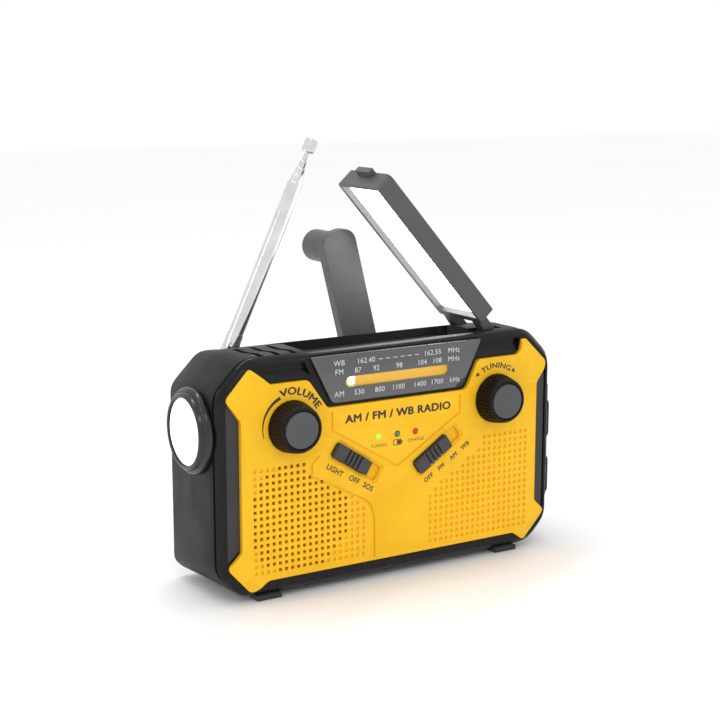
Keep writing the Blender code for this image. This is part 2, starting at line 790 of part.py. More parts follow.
# ---------------------------------------------------------------- inside


def make_speaker(parent):
    centre = (SPEAKER_X, SPEAKER_Z)
    basket = (
        (20.0, 0.0),
        (20.0, 11.0),
        (13.5, 11.0),
        (7.0, 16.6),
        (6.8, 18.0),
        (5.6, 18.0),
        (5.6, 15.7),
        (6.9, 15.7),
        (14.0, 8.5),
        (14.0, 0.0),
    )
    finish(turned("speaker_basket", basket, 24, centre=centre), "steel", parent)
    cone = ((12.6, 0.0), (12.6, 4.0), (5.9, 15.2), (5.1, 15.2), (11.4, 4.4), (10.2, 0.0))
    finish(turned("speaker_cone", cone, 24, centre=centre), "cone_paper", parent)


def make_electronics(parent):
    board = box("main_board", (-22.0, 14.5, 12.0), (54.0, 16.1, 66.0))
    finish(board, "circuit_board", parent, smooth=False)
    for name, (low, high) in (("usb_socket", COVER_SPANS["upper"]), ("audio_socket", COVER_SPANS["lower"])):
        middle = (low + high) / 2
        socket = box(name, (64.0, 12.0, middle - 4.5), (76.0, 21.0, middle + 4.5))
        if name == "usb_socket":
            mouth = box("mouth", (66.0, 12.4, middle - 1.5), (80.0, 20.6, middle + 1.5))
        else:
            mouth = pin("mouth", 2.0, 66.0, 80.0, 12, "X", (16.5, middle))
        finish(carve(socket, mouth), "steel", parent, smooth=False)


# ---------------------------------------------------------------- flashlight


def make_flashlight(parent):
    centre = (TORCH_Y, TORCH_Z)
    bezel = (
        (-77.3, 14.1),
        (-77.3, BEZEL_RADIUS),
        (-78.9, BEZEL_RADIUS),
        (-79.9, 15.2),
        (-80.3, 14.4),
        (-81.3, 14.2),
        (-81.75, 13.7),
        (-81.75, 12.5),
        (-81.35, 12.0),
        (-81.15, 12.0),
        (-81.15, 12.9),
        (-79.9, 12.9),
        (-79.9, 14.1),
    )
    finish(turned("flashlight_bezel", bezel, 36, "X", centre), "black_plastic", parent)
    lens = (
        (TORCH_REACH, 0.0),
        (TORCH_REACH + 0.15, 6.5),
        (-81.6, 11.0),
        (-81.2, 11.7),
        (-80.85, 11.7),
        (-80.85, 12.6),
        (-79.95, 12.6),
        (-79.95, 0.0),
    )
    finish(turned("flashlight_lens", lens, 32, "X", centre), "clear_lens", parent)
    reflector = (
        (-79.65, 11.6),
        (-79.65, 12.3),
        (-77.6, 12.3),
        (-72.0, 9.2),
        (-67.5, 4.6),
        (-67.5, 2.6),
        (-68.2, 2.6),
        (-72.6, 8.2),
    )
    finish(turned("flashlight_reflector", reflector, 24, "X", centre), "mirror", parent)
    led = ((-69.5, 0.0), (-69.5, 1.6), (-66.9, 1.6), (-66.9, 9.0), (-65.3, 9.0), (-65.3, 0.0))
    finish(turned("flashlight_led", led, 16, "X", centre), "white_plastic", parent)


# ---------------------------------------------------------------- port covers


def make_port_cover(name, span, parent):
    """Rubber cover with a plug on its inner side, hinged along its back edge."""
    low, high = span
    axis = guide(name + "_axis", (*COVER_HINGE, (low + high) / 2), parent)
    half = (high - low) / 2
    face = COVER_FACE - COVER_HINGE[0]
    outline = rounded([(-19.3, -half, 2.0), (0.4, -half, 1.0), (0.4, half, 1.0), (-19.3, half, 2.0)])
    loops = []
    for x, inset in ((-0.2, 0.0), (face - 0.7, 0.0), (face, 0.7)):
        shrink_y = (9.85 - inset) / 9.85
        shrink_z = (half - inset) / half
        loops.append([(x, -9.45 + (y + 9.45) * shrink_y, z * shrink_z) for y, z in outline])
    cover = loft(name, loops)
    plug = box("plug", (-2.0, -16.6, -half + 3.2), (0.5, -6.0, half - 3.2))
    finish(fuse(cover, plug), "rubber", axis)


# ---------------------------------------------------------------- lamp lid


def make_lamp(parent):
    """The lid is drawn closed about its pivot; the guide's turn opens it."""
    axis = guide("lamp_axis", (LID_PIVOT[0], 0.0, LID_PIVOT[1]), parent, (0.0, LID_OPEN, 0.0))
    low_x, high_x = LID_SPAN
    outline = rounded(
        [(low_x, LID_FRONT, 2.0), (high_x, LID_FRONT, 1.0), (high_x, LID_BACK, 1.0), (low_x, LID_BACK, 2.0)]
    )
    lid = prism("lamp_lid", outline, LID_UNDER, LID_OUTER, "Z")
    middle = (LID_FRONT + LID_BACK) / 2
    tab_low = (low_x - 2.5, middle - 5.0, LID_OUTER - 2.4)
    fuse(lid, box("lift_tab", tab_low, (low_x + 1.0, middle + 5.0, LID_OUTER)))
    for low, high in ARM_SPANS:
        arm = rounded([(-11.0, -1.4, 0.0), (2.4, -2.4, 2.2), (2.4, 2.4, 2.2), (-11.0, 2.6, 0.0)])
        fuse(lid, prism("hinge_arm", arm, low, high))
    carve(
        lid,
        box("lamp_pocket", (low_x + 1.8, LID_FRONT + 1.6, -3.0), (high_x - 2.6, LID_BACK - 1.6, 2.4)),
        box("solar_pocket", (low_x + 6.0, LID_FRONT + 3.0, 4.8), (high_x - 6.0, LID_BACK - 3.0, 8.0)),
        pin("pin_bore", 1.3, 5.0, 40.0, 10),
    )
    finish(lid, "grey_plastic", axis)
    diffuser_high = (high_x - 2.9, LID_BACK - 1.9, 2.1)
    diffuser = box("lamp_diffuser", (low_x + 2.1, LID_FRONT + 1.9, 0.8), diffuser_high)
    finish(diffuser, "white_plastic", axis, smooth=False)
    solar = box("solar_panel", (low_x + 6.3, LID_FRONT + 3.3, 5.1), (high_x - 6.3, LID_BACK - 3.3, 6.0))
    finish(solar, "solar_cell", axis, smooth=False)
    finish(pin("lamp_hinge_pin", 1.0, 6.5, 36.6, 10, centre=LID_PIVOT), "steel", parent)


# ---------------------------------------------------------------- antenna


def make_antenna(parent):
    """Nested tubes along the local Z axis; the guide leans them."""
    axis = guide("antenna_axis", ANTENNA_PIVOT, parent, (0.0, ANTENNA_LEAN, 0.0))
    outer, bore = ANTENNA_RADII[0]
    right = [(2.6, -2.6, 1.8), (2.6, 3.0, 1.0), (1.9, 8.0, 0.0)]
    knuckle = right + [(-u, v, radius) for u, v, radius in reversed(right)]
    base = prism("antenna_base", rounded(knuckle, 2), -2.6, 2.6)
    fuse(base, turned("sleeve", [(4.0, 0.0), (4.0, 3.3), (9.6, 3.3), (9.6, 0.0)], 16, "Z"))
    seat = pin("tube_seat", outer + GAP / 2 - 0.05, 6.0, 12.0, 16, "Z")
    carve(base, seat, pin("pin_hole", 1.3, -5.0, 5.0, 10))
    finish(base, "chrome", axis)
    rivet = pin("antenna_pin", 1.0, 37.0, 44.4, 10, centre=(ANTENNA_PIVOT[0], ANTENNA_PIVOT[2]))
    finish(rivet, "steel", parent)
    previous = axis
    for index, (radius, inside) in enumerate(ANTENNA_RADII):
        top = ANTENNA_TUBE + index * ANTENNA_STEP
        bottom = 6.2 + index * 2.0
        lip = 0.22
        profile = [
            (bottom, inside),
            (bottom, radius),
            (top - 0.5, radius),
            (top, radius - lip),
            (top, inside),
        ]
        if index:
            previous = guide(f"antenna_slide_{index}", (0.0, 0.0, 0.0), previous)
        finish(turned(f"antenna_tube_{index + 1}", profile, 16, "Z"), "chrome", previous)
    rod_slide = guide("antenna_slide_rod", (0.0, 0.0, 0.0), previous)
    tip_profile = [
        (16.0, 0.0),
        (16.0, ROD_RADIUS),
        (ANTENNA_TIP_BASE, ROD_RADIUS),
        (ANTENNA_TIP_BASE, TIP_RADIUS - 0.4),
        (ANTENNA_TIP_BASE + 0.5, TIP_RADIUS),
        (ANTENNA_TIP_END - 0.6, TIP_RADIUS),
        (ANTENNA_TIP_END, TIP_RADIUS - 0.6),
        (ANTENNA_TIP_END, 0.0),
    ]
    finish(turned("antenna_rod", tip_profile, 16, "Z"), "chrome", rod_slide)


# ---------------------------------------------------------------- crank


def make_crank(parent):
    """Hub, folding arm and knob; the arm is drawn upright and the guide leans it."""
    axis = guide("crank_axis", (CRANK_X, 0.0, CRANK_Z), parent, (0.0, -CRANK_LEAN, 0.0))
    hub_profile = [(37.6, 0.0), (37.6, 4.0), (46.4, 4.0), (46.4, 9.4), (48.4, 9.4), (48.4, 0.0)]
    hub = turned("crank_hub", hub_profile, 24)
    for side in (-1, 1):
        ear = rounded([(48.0, -3.0, 0.0), (54.2, -3.0, 2.4), (54.2, 3.0, 2.4), (48.0, 3.0, 0.0)])
        low, high = sorted((side * 5.2, side * 7.6))
        fuse(hub, prism("ear", ear, low, high, "X"))
    carve(hub, pin("fold_bore", 1.3, -10.0, 10.0, 10, "X", (FOLD_Y, 0.0)))
    finish(hub, "black_plastic", axis)
    fold_pin = pin("crank_fold_pin", 1.0, -7.5, 7.5, 10, "X", (FOLD_Y, 0.0))
    finish(fold_pin, "steel", axis)
    make_crank_arm(guide("crank_fold_axis", (0.0, FOLD_Y, 0.0), axis))
    make_gears(parent, axis)


def make_crank_arm(fold):
    """Arm with a narrow root between the hub's ears."""
    half_root = 4.8
    end = CRANK_RADIUS + ARM_HALF_WIDTH
    outline = rounded(
        [
            (half_root, -1.6, 0.0),
            (half_root, 9.6, 0.0),
            (ARM_HALF_WIDTH, 9.6, 0.6),
            (ARM_HALF_WIDTH, end, ARM_END_ROUND),
            (-ARM_HALF_WIDTH, end, ARM_END_ROUND),
            (-ARM_HALF_WIDTH, 9.6, 0.6),
            (-half_root, 9.6, 0.0),
            (-half_root, -1.6, 0.0),
        ],
        8,
    )
    low, high = ARM_Y[0] - FOLD_Y, ARM_Y[1] - FOLD_Y
    arm = prism("crank_arm", outline, low, high)
    carve(
        arm,
        pin("fold_bore", 1.3, -10.0, 10.0, 10, "X"),
        pin("spindle_bore", 2.35, low + 1.0, high + 1.0, 12, centre=(0.0, CRANK_RADIUS)),
    )
    finish(arm, "grey_plastic", fold)
    spin = guide("crank_knob_axis", (0.0, 0.0, CRANK_RADIUS), fold)
    back = CRANK_KNOB_END - FOLD_Y
    profile = [
        (low + 1.4, 0.0),
        (low + 1.4, 2.0),
        (high + GAP, 2.0),
        (high + GAP, CRANK_KNOB_RADIUS - 0.5),
        (high + GAP + 0.8, CRANK_KNOB_RADIUS),
        (back - 1.2, CRANK_KNOB_RADIUS),
        (back, CRANK_KNOB_RADIUS - 1.2),
        (back, 0.0),
    ]
    finish(turned("crank_knob", profile, 24), "black_plastic", spin)


def make_gears(parent, crank_axis):
    """Crank gear, idler and generator pinion in a row straight below the hub."""
    down, up = -math.pi / 2, math.pi / 2
    first_drop = GEAR_MODULE * (HUB_TEETH + IDLER_SMALL_TEETH) / 2 + MESH_PLAY
    second_drop = GEAR_MODULE * (IDLER_LARGE_TEETH + PINION_TEETH) / 2 + MESH_PLAY
    wheel = prism("crank_gear", gear_outline(HUB_TEETH, down - CRANK_LEAN, (0.0, 0.0)), 38.0, 40.5)
    finish(carve(wheel, pin("bore", 4.3, 30.0, 50.0, 16)), "white_plastic", crank_axis)

    idler_axis = guide("idler_axis", (CRANK_X, 0.0, CRANK_Z - first_drop), parent)
    small = gear_outline(IDLER_SMALL_TEETH, up + math.pi / IDLER_SMALL_TEETH, (0.0, 0.0))
    large = gear_outline(IDLER_LARGE_TEETH, down, (0.0, 0.0))
    idler = prism("idler_gear", small, 36.0, 40.5)
    fuse(idler, prism("large_wheel", large, 34.0, 36.5), pin("idler_pin", 1.5, 32.8, 42.4, 10))
    finish(idler, "white_plastic", idler_axis)

    pinion_z = CRANK_Z - first_drop - second_drop
    pinion_axis = guide("generator_axis", (CRANK_X, 0.0, pinion_z), parent)
    teeth = gear_outline(PINION_TEETH, up + math.pi / PINION_TEETH, (0.0, 0.0))
    pinion = prism("generator_pinion", teeth, 34.0, 37.0)
    fuse(pinion, pin("rotor_shaft", 1.2, 26.0, 37.5, 10))
    finish(pinion, "steel", pinion_axis)

    can = pin("generator_can", 11.9, 17.5, 32.4, 24, centre=(CRANK_X, pinion_z))
    carve(can, pin("shaft_bore", 1.5, 25.0, 40.0, 12, centre=(CRANK_X, pinion_z)))
    finish(can, "steel", parent)
    make_gearbox_plate(parent, CRANK_Z - first_drop)


def make_gearbox_plate(parent, idler_z):
    """Plate between the gears and the back wall that carries the hub's shaft and the idler."""
    outline = rounded([(4.0, 44.0, 3.0), (32.0, 44.0, 3.0), (32.0, 80.0, 3.0), (4.0, 80.0, 3.0)])
    plate = prism("gearbox_plate", outline, 41.2, 42.8)
    carve(
        plate,
        pin("hub_hole", 4.35, 40.0, 45.0, 20, centre=(CRANK_X, CRANK_Z)),
        pin("idler_hole", 1.9, 40.0, 45.0, 12, centre=(CRANK_X, idler_z)),
    )
    finish(plate, "steel", parent)


def build():
    case = guide("radio_frame", SHIFT)
    make_front_frame(case)
    make_front_panel(case)
    make_rear_shell(case)
    make_case_trim(case)
    make_dial(case)
    make_knob("volume_knob", -1, 9.0, case)
    make_knob("tuning_knob", 1, 9.0, case)
    make_control_bodies(case)
    make_switch("light_switch", -1, case)
    make_switch("band_switch", 1, case)
    make_leds(case)
    make_speaker(case)
    make_electronics(case)
    make_flashlight(case)
    for name, span in COVER_SPANS.items():
        make_port_cover("port_cover_" + name, span, case)
    make_lamp(case)
    make_antenna(case)
    make_crank(case)


clear_scene()
MATERIAL_BLOCKS = make_materials()
build()
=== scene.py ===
"""Looks of the emergency radio: materials, studio and detailed pieces.

A detailed piece stands for a CAD node or adds to one.
"""

import json
import math

import bmesh
import bpy
from mathutils import Matrix, Vector


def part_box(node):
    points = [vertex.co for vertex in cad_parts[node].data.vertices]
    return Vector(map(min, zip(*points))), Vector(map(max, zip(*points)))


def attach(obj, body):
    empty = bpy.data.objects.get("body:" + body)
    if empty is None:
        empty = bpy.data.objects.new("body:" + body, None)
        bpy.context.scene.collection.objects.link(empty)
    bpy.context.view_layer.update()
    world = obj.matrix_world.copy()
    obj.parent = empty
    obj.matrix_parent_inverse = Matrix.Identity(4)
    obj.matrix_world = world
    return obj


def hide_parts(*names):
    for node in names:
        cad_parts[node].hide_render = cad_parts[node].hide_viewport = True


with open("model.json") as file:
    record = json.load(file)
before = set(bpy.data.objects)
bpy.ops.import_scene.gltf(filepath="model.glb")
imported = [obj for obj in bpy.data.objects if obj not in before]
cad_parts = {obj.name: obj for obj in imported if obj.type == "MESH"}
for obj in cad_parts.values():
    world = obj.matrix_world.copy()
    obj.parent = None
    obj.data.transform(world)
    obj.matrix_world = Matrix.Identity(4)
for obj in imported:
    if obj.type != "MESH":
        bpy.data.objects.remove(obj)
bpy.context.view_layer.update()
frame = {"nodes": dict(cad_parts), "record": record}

NODES = frame["nodes"]
MM = 0.001

# The panel's middle, the plane of its face and the floor come from the CAD nodes.
CENTRE_X = (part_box("front_frame")[0].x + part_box("front_frame")[1].x) / 2
FACE_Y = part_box("front_panel")[0].y
FLOOR_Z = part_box("foot_front_left")[0].z


def front(x, z, y=0.0):
    """Point at x mm right of the panel's middle, z mm above the floor and y mm behind the panel's face."""
    return Vector((CENTRE_X + x * MM, FACE_Y + y * MM, FLOOR_Z + z * MM))


def panel_place(node):
    """Middle of a CAD node's box as seen from the front: x and z for front()."""
    low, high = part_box(node)
    return ((low.x + high.x) / 2 - CENTRE_X) / MM, ((low.z + high.z) / 2 - FLOOR_Z) / MM


# ------------------------------------------------------------------ node materials


class Look:
    """A Principled material and the nodes that vary it over the surface."""

    def __init__(self, name, colour, roughness, metallic=0.0):
        self.material = bpy.data.materials.new(name)
        self.material.use_nodes = True
        self.tree = self.material.node_tree
        self.shader = self.tree.nodes["Principled BSDF"]
        self.colour = colour
        self.shader.inputs["Base Color"].default_value = (*colour, 1.0)
        self.shader.inputs["Roughness"].default_value = roughness
        self.shader.inputs["Metallic"].default_value = metallic
        self.roughness = roughness
        self.place = self.node("ShaderNodeTexCoord").outputs["Object"]

    def node(self, kind, **values):
        made = self.tree.nodes.new(kind)
        for key, value in values.items():
            setattr(made, key, value)
        return made

    def link(self, out, into):
        self.tree.links.new(out, into)

    def set(self, **values):
        for key, value in values.items():
            self.shader.inputs[key.replace("_", " ")].default_value = value
        return self

    def noise(self, size, detail=3.0, stretch=(1.0, 1.0, 1.0)):
        """Noise whose features are about size metres wide."""
        mapping = self.node("ShaderNodeMapping")
        mapping.inputs["Scale"].default_value = [s / size for s in stretch]
        self.link(self.place, mapping.inputs["Vector"])
        made = self.node("ShaderNodeTexNoise")
        made.inputs["Scale"].default_value = 1.0
        made.inputs["Detail"].default_value = detail
        self.link(mapping.outputs["Vector"], made.inputs["Vector"])
        return made.outputs["Fac"]

    def remap(self, value, low, high, from_low=0.3, from_high=0.7):
        made = self.node("ShaderNodeMapRange")
        made.inputs["From Min"].default_value = from_low
        made.inputs["From Max"].default_value = from_high
        made.inputs["To Min"].default_value = low
        made.inputs["To Max"].default_value = high
        self.link(value, made.inputs["Value"])
        return made.outputs["Result"]

    def blend(self, share, first, second):
        """Colour between two colours or colour outputs."""
        made = self.node("ShaderNodeMix", data_type="RGBA")
        self.link(share, made.inputs["Factor"])
        for value, socket in ((first, made.inputs[6]), (second, made.inputs[7])):
            if isinstance(value, tuple):
                socket.default_value = (*value, 1.0)
            else:
                self.link(value, socket)
        return made.outputs[2]

    def mottle(self, share, size):
        """Colour that drifts a little, lighter and darker, over the surface."""
        darker = tuple(c * (1 - share) for c in self.colour)
        lighter = tuple(min(c * (1 + share), 1.0) for c in self.colour)
        drift = self.blend(self.remap(self.noise(size), 0.0, 1.0), darker, lighter)
        self.link(drift, self.shader.inputs["Base Color"])
        return drift

    def vary_roughness(self, spread, size):
        low, high = self.roughness - spread, self.roughness + spread
        self.link(self.remap(self.noise(size, 5.0), low, high), self.shader.inputs["Roughness"])

    def bump(self, height, depth, strength=1.0):
        made = self.node("ShaderNodeBump")
        made.inputs["Distance"].default_value = depth
        made.inputs["Strength"].default_value = strength
        self.link(height, made.inputs["Height"])
        self.link(made.outputs["Normal"], self.shader.inputs["Normal"])

    def paint_edge_wear_and_highlight(self, base, edge_wear_and_highlight, amount):
        """Lighter colour along convex edges, broken up by noise: partly wear, partly a painted highlight
        where the edges catch the light.
        """
        pointiness = self.node("ShaderNodeNewGeometry").outputs["Pointiness"]
        sharp = self.remap(pointiness, 0.0, amount, 0.52, 0.62)
        broken = self.node("ShaderNodeMath", operation="MULTIPLY")
        self.link(sharp, broken.inputs[0])
        self.link(self.remap(self.noise(0.003, 4.0), 0.2, 1.0), broken.inputs[1])
        self.link(self.blend(broken.outputs[0], base, edge_wear_and_highlight), self.shader.inputs["Base Color"])


def moulded(name, colour, roughness, grain=0.00035, depth=0.00003, edge_wear_and_highlight=None):
    """Moulded plastic: spark-eroded grain, faint flow mottling, and edges painted lighter, partly as wear
    and partly as painted highlight.
    """
    look = Look(name, colour, roughness)
    drift = look.mottle(0.06, 0.03)
    look.vary_roughness(0.06, 0.012)
    look.bump(look.noise(grain, 2.0), depth, 0.5)
    # Edges painted lighter: partly wear, partly painted highlight.
    if edge_wear_and_highlight:
        look.paint_edge_wear_and_highlight(drift, edge_wear_and_highlight, 0.55)
    return look


def yellow_look():
    look = moulded("yellow_abs", (0.87, 0.475, 0.008), 0.42, 0.0003, 0.00001, (0.95, 0.56, 0.03))
    look.set(Specular_IOR_Level=0.22)
    return look.material


def black_look():
    look = moulded("black_abs", (0.01, 0.01, 0.011), 0.42, 0.0004, 0.00003, (0.03, 0.03, 0.032))
    look.set(Specular_IOR_Level=0.2)
    return look.material


def shell_look():
    """Matt moulded texture of the rear shell."""
    look = moulded("shell_abs", (0.011, 0.011, 0.012), 0.46, 0.0005, 0.00005, (0.035, 0.035, 0.037))
    look.set(Specular_IOR_Level=0.13)
    return look.material


def frame_look():
    """Deep black of the front frame, with paler edges: partly wear, partly painted highlight."""
    look = moulded("frame_abs", (0.005, 0.005, 0.0055), 0.27, 0.0005, 0.00002, (0.022, 0.022, 0.023))
    look.set(Specular_IOR_Level=0.11, Coat_Weight=0.2, Coat_Roughness=0.12)
    return look.material


def strip_look():
    """Matt grey strip sunk beside the yellow panel."""
    look = moulded("strip_abs", (0.045, 0.045, 0.046), 0.5, 0.0005, 0.00004, (0.07, 0.07, 0.072))
    look.set(Specular_IOR_Level=0.2)
    return look.material


def gloss_black_look():
    look = moulded("gloss_black_abs", (0.008, 0.008, 0.009), 0.22, 0.0006, 0.000006, (0.05, 0.05, 0.05))
    return look.material


def grey_look():
    look = moulded("grey_abs", (0.03, 0.03, 0.032), 0.42, 0.00035, 0.00003, (0.1, 0.1, 0.105))
    return look.material


def lid_look():
    look = moulded("lid_abs", (0.068, 0.069, 0.072), 0.45, 0.0004, 0.00003, (0.12, 0.12, 0.125))
    return look.material


def arm_look():
    """Plastic of the crank's arm and knob."""
    look = moulded("arm_abs", (0.05, 0.051, 0.053), 0.42, 0.0004, 0.00003, (0.15, 0.15, 0.155))
    return look.material


def white_look():
    look = moulded("white_abs", (0.86, 0.86, 0.84), 0.35)
    return look.material


def fluted_look():
    """Glossy dark side of a knob, tinted warm all over as a painted reflection of the yellow panel."""
    # The warm brown in the base and edge colours is a painted reflection of the yellow panel.
    look = moulded("fluted_abs", (0.007, 0.0045, 0.003), 0.36, 0.0006, 0.00001, (0.03, 0.02, 0.014))
    look.set(Specular_IOR_Level=0.14)
    return look.material


def cap_look():
    """Soft-touch cap of a knob."""
    look = moulded("cap_abs", (0.075, 0.078, 0.082), 0.5, 0.0005, 0.00002, (0.13, 0.13, 0.135))
    look.set(Specular_IOR_Level=0.3)
    return look.material


def rubber_look():
    look = moulded("soft_rubber", (0.01, 0.01, 0.0105), 0.6, 0.0005, 0.00005, (0.03, 0.03, 0.03))
    look.set(Sheen_Weight=0.15)
    return look.material


def chrome_look():
    """Bright tube with fine drawn lines along it and faint handling marks."""
    look = Look("chromed_brass", (0.7, 0.7, 0.715), 0.12, 1.0)
    look.mottle(0.08, 0.008)
    look.vary_roughness(0.05, 0.004)
    look.bump(look.noise(0.0008, 2.0, (6.0, 6.0, 0.3)), 0.000004, 0.5)
    return look.material


def steel_look():
    look = Look("zinc_steel", (0.5, 0.5, 0.51), 0.32, 1.0)
    look.mottle(0.12, 0.002)
    look.vary_roughness(0.08, 0.003)
    look.bump(look.noise(0.0003, 3.0), 0.00001, 0.4)
    return look.material


def mirror_look():
    look = Look("plated_reflector", (0.92, 0.92, 0.92), 0.08, 1.0)
    look.mottle(0.03, 0.003)
    look.vary_roughness(0.03, 0.002)
    return look.material


def ink_look(name, colour):
    look = Look(name, colour, 0.5)
    look.mottle(0.12, 0.001)
    look.vary_roughness(0.1, 0.0006)
    return look.material


def window_print_look():
    """Smoked dial face: dark print behind gloss acrylic."""
    look = Look("smoked_print", (0.055, 0.056, 0.06), 0.14)
    look.mottle(0.08, 0.02)
    look.vary_roughness(0.03, 0.006)
    look.set(Coat_Weight=1.0, Coat_Roughness=0.03)
    return look.material


def clear_look(name, alpha, colour=(0.9, 0.92, 0.95)):
    look = Look(name, colour, 0.04)
    look.vary_roughness(0.02, 0.006)
    look.mottle(0.04, 0.01)
    look.set(Alpha=alpha, Specular_IOR_Level=0.8)
    return look.material


def glow_look(name, colour, strength, spot=0.012):
    """Lit milky plastic, or a painted glow on a part that is no lamp; the light is uneven over it."""
    look = Look(name, colour, 0.35)
    look.mottle(0.03, spot)
    look.vary_roughness(0.08, 0.002)
    look.set(Emission_Strength=strength)
    dim = tuple(c * 0.82 for c in colour)
    glow = look.blend(look.remap(look.noise(spot), 0.0, 1.0), dim, colour)
    look.link(glow, look.shader.inputs["Emission Color"])
    return look.material


def board_look():
    look = Look("solder_mask", (0.02, 0.17, 0.06), 0.35)
    look.mottle(0.3, 0.004)
    look.vary_roughness(0.1, 0.002)
    look.bump(look.noise(0.001, 4.0), 0.00004, 0.5)
    return look.material


def paper_look():
    look = Look("cone_pulp", (0.035, 0.033, 0.03), 0.85)
    look.mottle(0.3, 0.0012)
    look.vary_roughness(0.08, 0.001)
    look.bump(look.noise(0.0006, 5.0), 0.00008, 0.7)
    return look.material


def dial_glow_look():
    # The emission is painted light: it lights the dial plate evenly so the shadow of the mask's edge
    # doesn't show in the slot.
    look = Look("dial_painted_glow", (0.5, 0.27, 0.01), 0.5)
    look.mottle(0.05, 0.01)
    look.vary_roughness(0.08, 0.002)
    look.set(Emission_Color=(1.0, 0.56, 0.016, 1.0), Emission_Strength=0.62)
    return look.material


def wrap_look():
    look = Look("cell_wrap", (0.03, 0.14, 0.4), 0.28)
    look.mottle(0.1, 0.01)
    look.vary_roughness(0.08, 0.004)
    return look.material


def solar_look():
    """Dark silicon with the fine grain of its crystals."""
    look = Look("silicon", (0.012, 0.016, 0.055), 0.16)
    grain = look.node("ShaderNodeTexVoronoi")
    grain.inputs["Scale"].default_value = 420.0
    look.link(look.place, grain.inputs["Vector"])
    share = look.remap(grain.outputs["Color"], 0.0, 1.0, 0.0, 1.0)
    shade = look.blend(share, (0.006, 0.01, 0.04), (0.02, 0.03, 0.1))
    look.link(shade, look.shader.inputs["Base Color"])
    look.vary_roughness(0.04, 0.003)
    look.set(Coat_Weight=1.0, Coat_Roughness=0.04)
    return look.material


LOOKS = {
    "yellow_plastic": yellow_look(),
    "black_plastic": black_look(),
    "shell_black": shell_look(),
    "frame_black": frame_look(),
    "strip_grey": strip_look(),
    "gloss_black": gloss_black_look(),
    "fluted_black": fluted_look(),
    "knob_cap": cap_look(),
    "lid_grey": lid_look(),
    "arm_grey": arm_look(),
    "grey_plastic": grey_look(),
    "rubber": rubber_look(),
    "chrome": chrome_look(),
    "steel": steel_look(),
    "mirror": mirror_look(),
    "window": window_print_look(),
    "window_clear": clear_look("clear_acrylic", 0.03),
    "clear_lens": clear_look("clear_lens", 0.3, (0.96, 0.98, 1.0)),
    "diffuser": glow_look("lit_diffuser", (1.0, 1.0, 0.98), 7.0),
    "torch_glow": glow_look("lit_lens", (0.93, 0.94, 0.95), 1.3, 0.008),
    "dial_yellow": dial_glow_look(),
    "white_plastic": white_look(),
    # The pointer is white plastic, no lamp: its emission is a painted glow.
    "pointer": glow_look("pointer_painted_glow", (1.0, 0.98, 0.85), 0.9, 0.002),
    "circuit_board": board_look(),
    "cone_paper": paper_look(),
    "battery_wrap": wrap_look(),
    "solar_cell": solar_look(),
    "led_green": glow_look("led_green", (0.25, 0.85, 0.05), 1.6, 0.001),
    "led_dark": glow_look("led_dark", (0.03, 0.2, 0.22), 0.05, 0.001),
    "led_red": glow_look("led_red", (0.5, 0.015, 0.01), 0.35, 0.001),
    "black_ink": ink_look("black_ink", (0.03, 0.022, 0.012)),
    "white_ink": ink_look("white_ink", (0.62, 0.62, 0.62)),
    "silver_line": ink_look("silver_line", (0.5, 0.5, 0.52)),
}


# ------------------------------------------------------------------ meshes


def add_modifier(thing, kind, **values):
    modifier = thing.modifiers.new(kind.lower(), kind)
    for key, value in values.items():
        setattr(modifier, key, value)
    return modifier


def soften(thing, width, segments=2, angle=28.0, dissolve=True):
    """Rounds a solid's sharp edges."""
    add_modifier(thing, "WELD", merge_threshold=0.000002)
    if dissolve:
        add_modifier(thing, "DECIMATE", decimate_type="DISSOLVE", angle_limit=math.radians(0.6))
    if width > 0:
        add_modifier(
            thing,
            "BEVEL",
            width=width,
            segments=segments,
            limit_method="ANGLE",
            angle_limit=math.radians(angle),
            harden_normals=True,
            use_clamp_overlap=True,
        )


def paint(thing, look):
    thing.data.materials.clear()
    thing.data.materials.append(LOOKS[look])
    return thing


def smooth(thing, angle=30.0):
    thing.data.shade_smooth()
    thing.data.set_sharp_from_angle(angle=math.radians(angle))
    return thing


# Width of the rounding on each kept CAD node's edges, in metres
EDGES = {
    "front_frame": 0.0004,
    "rear_shell": 0.0004,
    "lamp_lid": 0.0005,
    "crank_arm": 0.0012,
    "crank_hub": 0.0004,
    "crank_knob": 0.0004,
    "battery_door": 0.0003,
    "solar_panel": 0.0002,
    "antenna_base": 0.0004,
}


# CAD nodes whose look differs from their slot's
CAD_LOOKS = {
    "rear_shell": "shell_black",
    "front_frame": "frame_black",
    "flashlight_lens": "torch_glow",
    "lamp_lid": "lid_grey",
    "crank_arm": "arm_grey",
    "crank_knob": "arm_grey",
}


def dress_cad():
    """Gives every kept CAD node its material, smooth shading and rounded edges."""
    slots = {entry["node"]: entry["material_slot"] for entry in frame["record"]["subparts"]}
    for name, thing in NODES.items():
        paint(thing, CAD_LOOKS.get(name, slots[name]))
        soften(thing, EDGES.get(name, 0.00015), 2)
        add_modifier(thing, "WEIGHTED_NORMAL", keep_sharp=True)
        smooth(thing)


# ------------------------------------------------------------------ studio


# The photograph's viewpoint: direction in degrees, place for front() in millimetres, lens in millimetres
VIEW_AZIMUTH = -32.02
VIEW_ELEVATION = 10.8
VIEW_PLACE = (-317.6, 196.0, -480.7)
VIEW_LENS = 76.8

FLOOR_REACH = 3.0
FLOOR_GAP = 0.0001


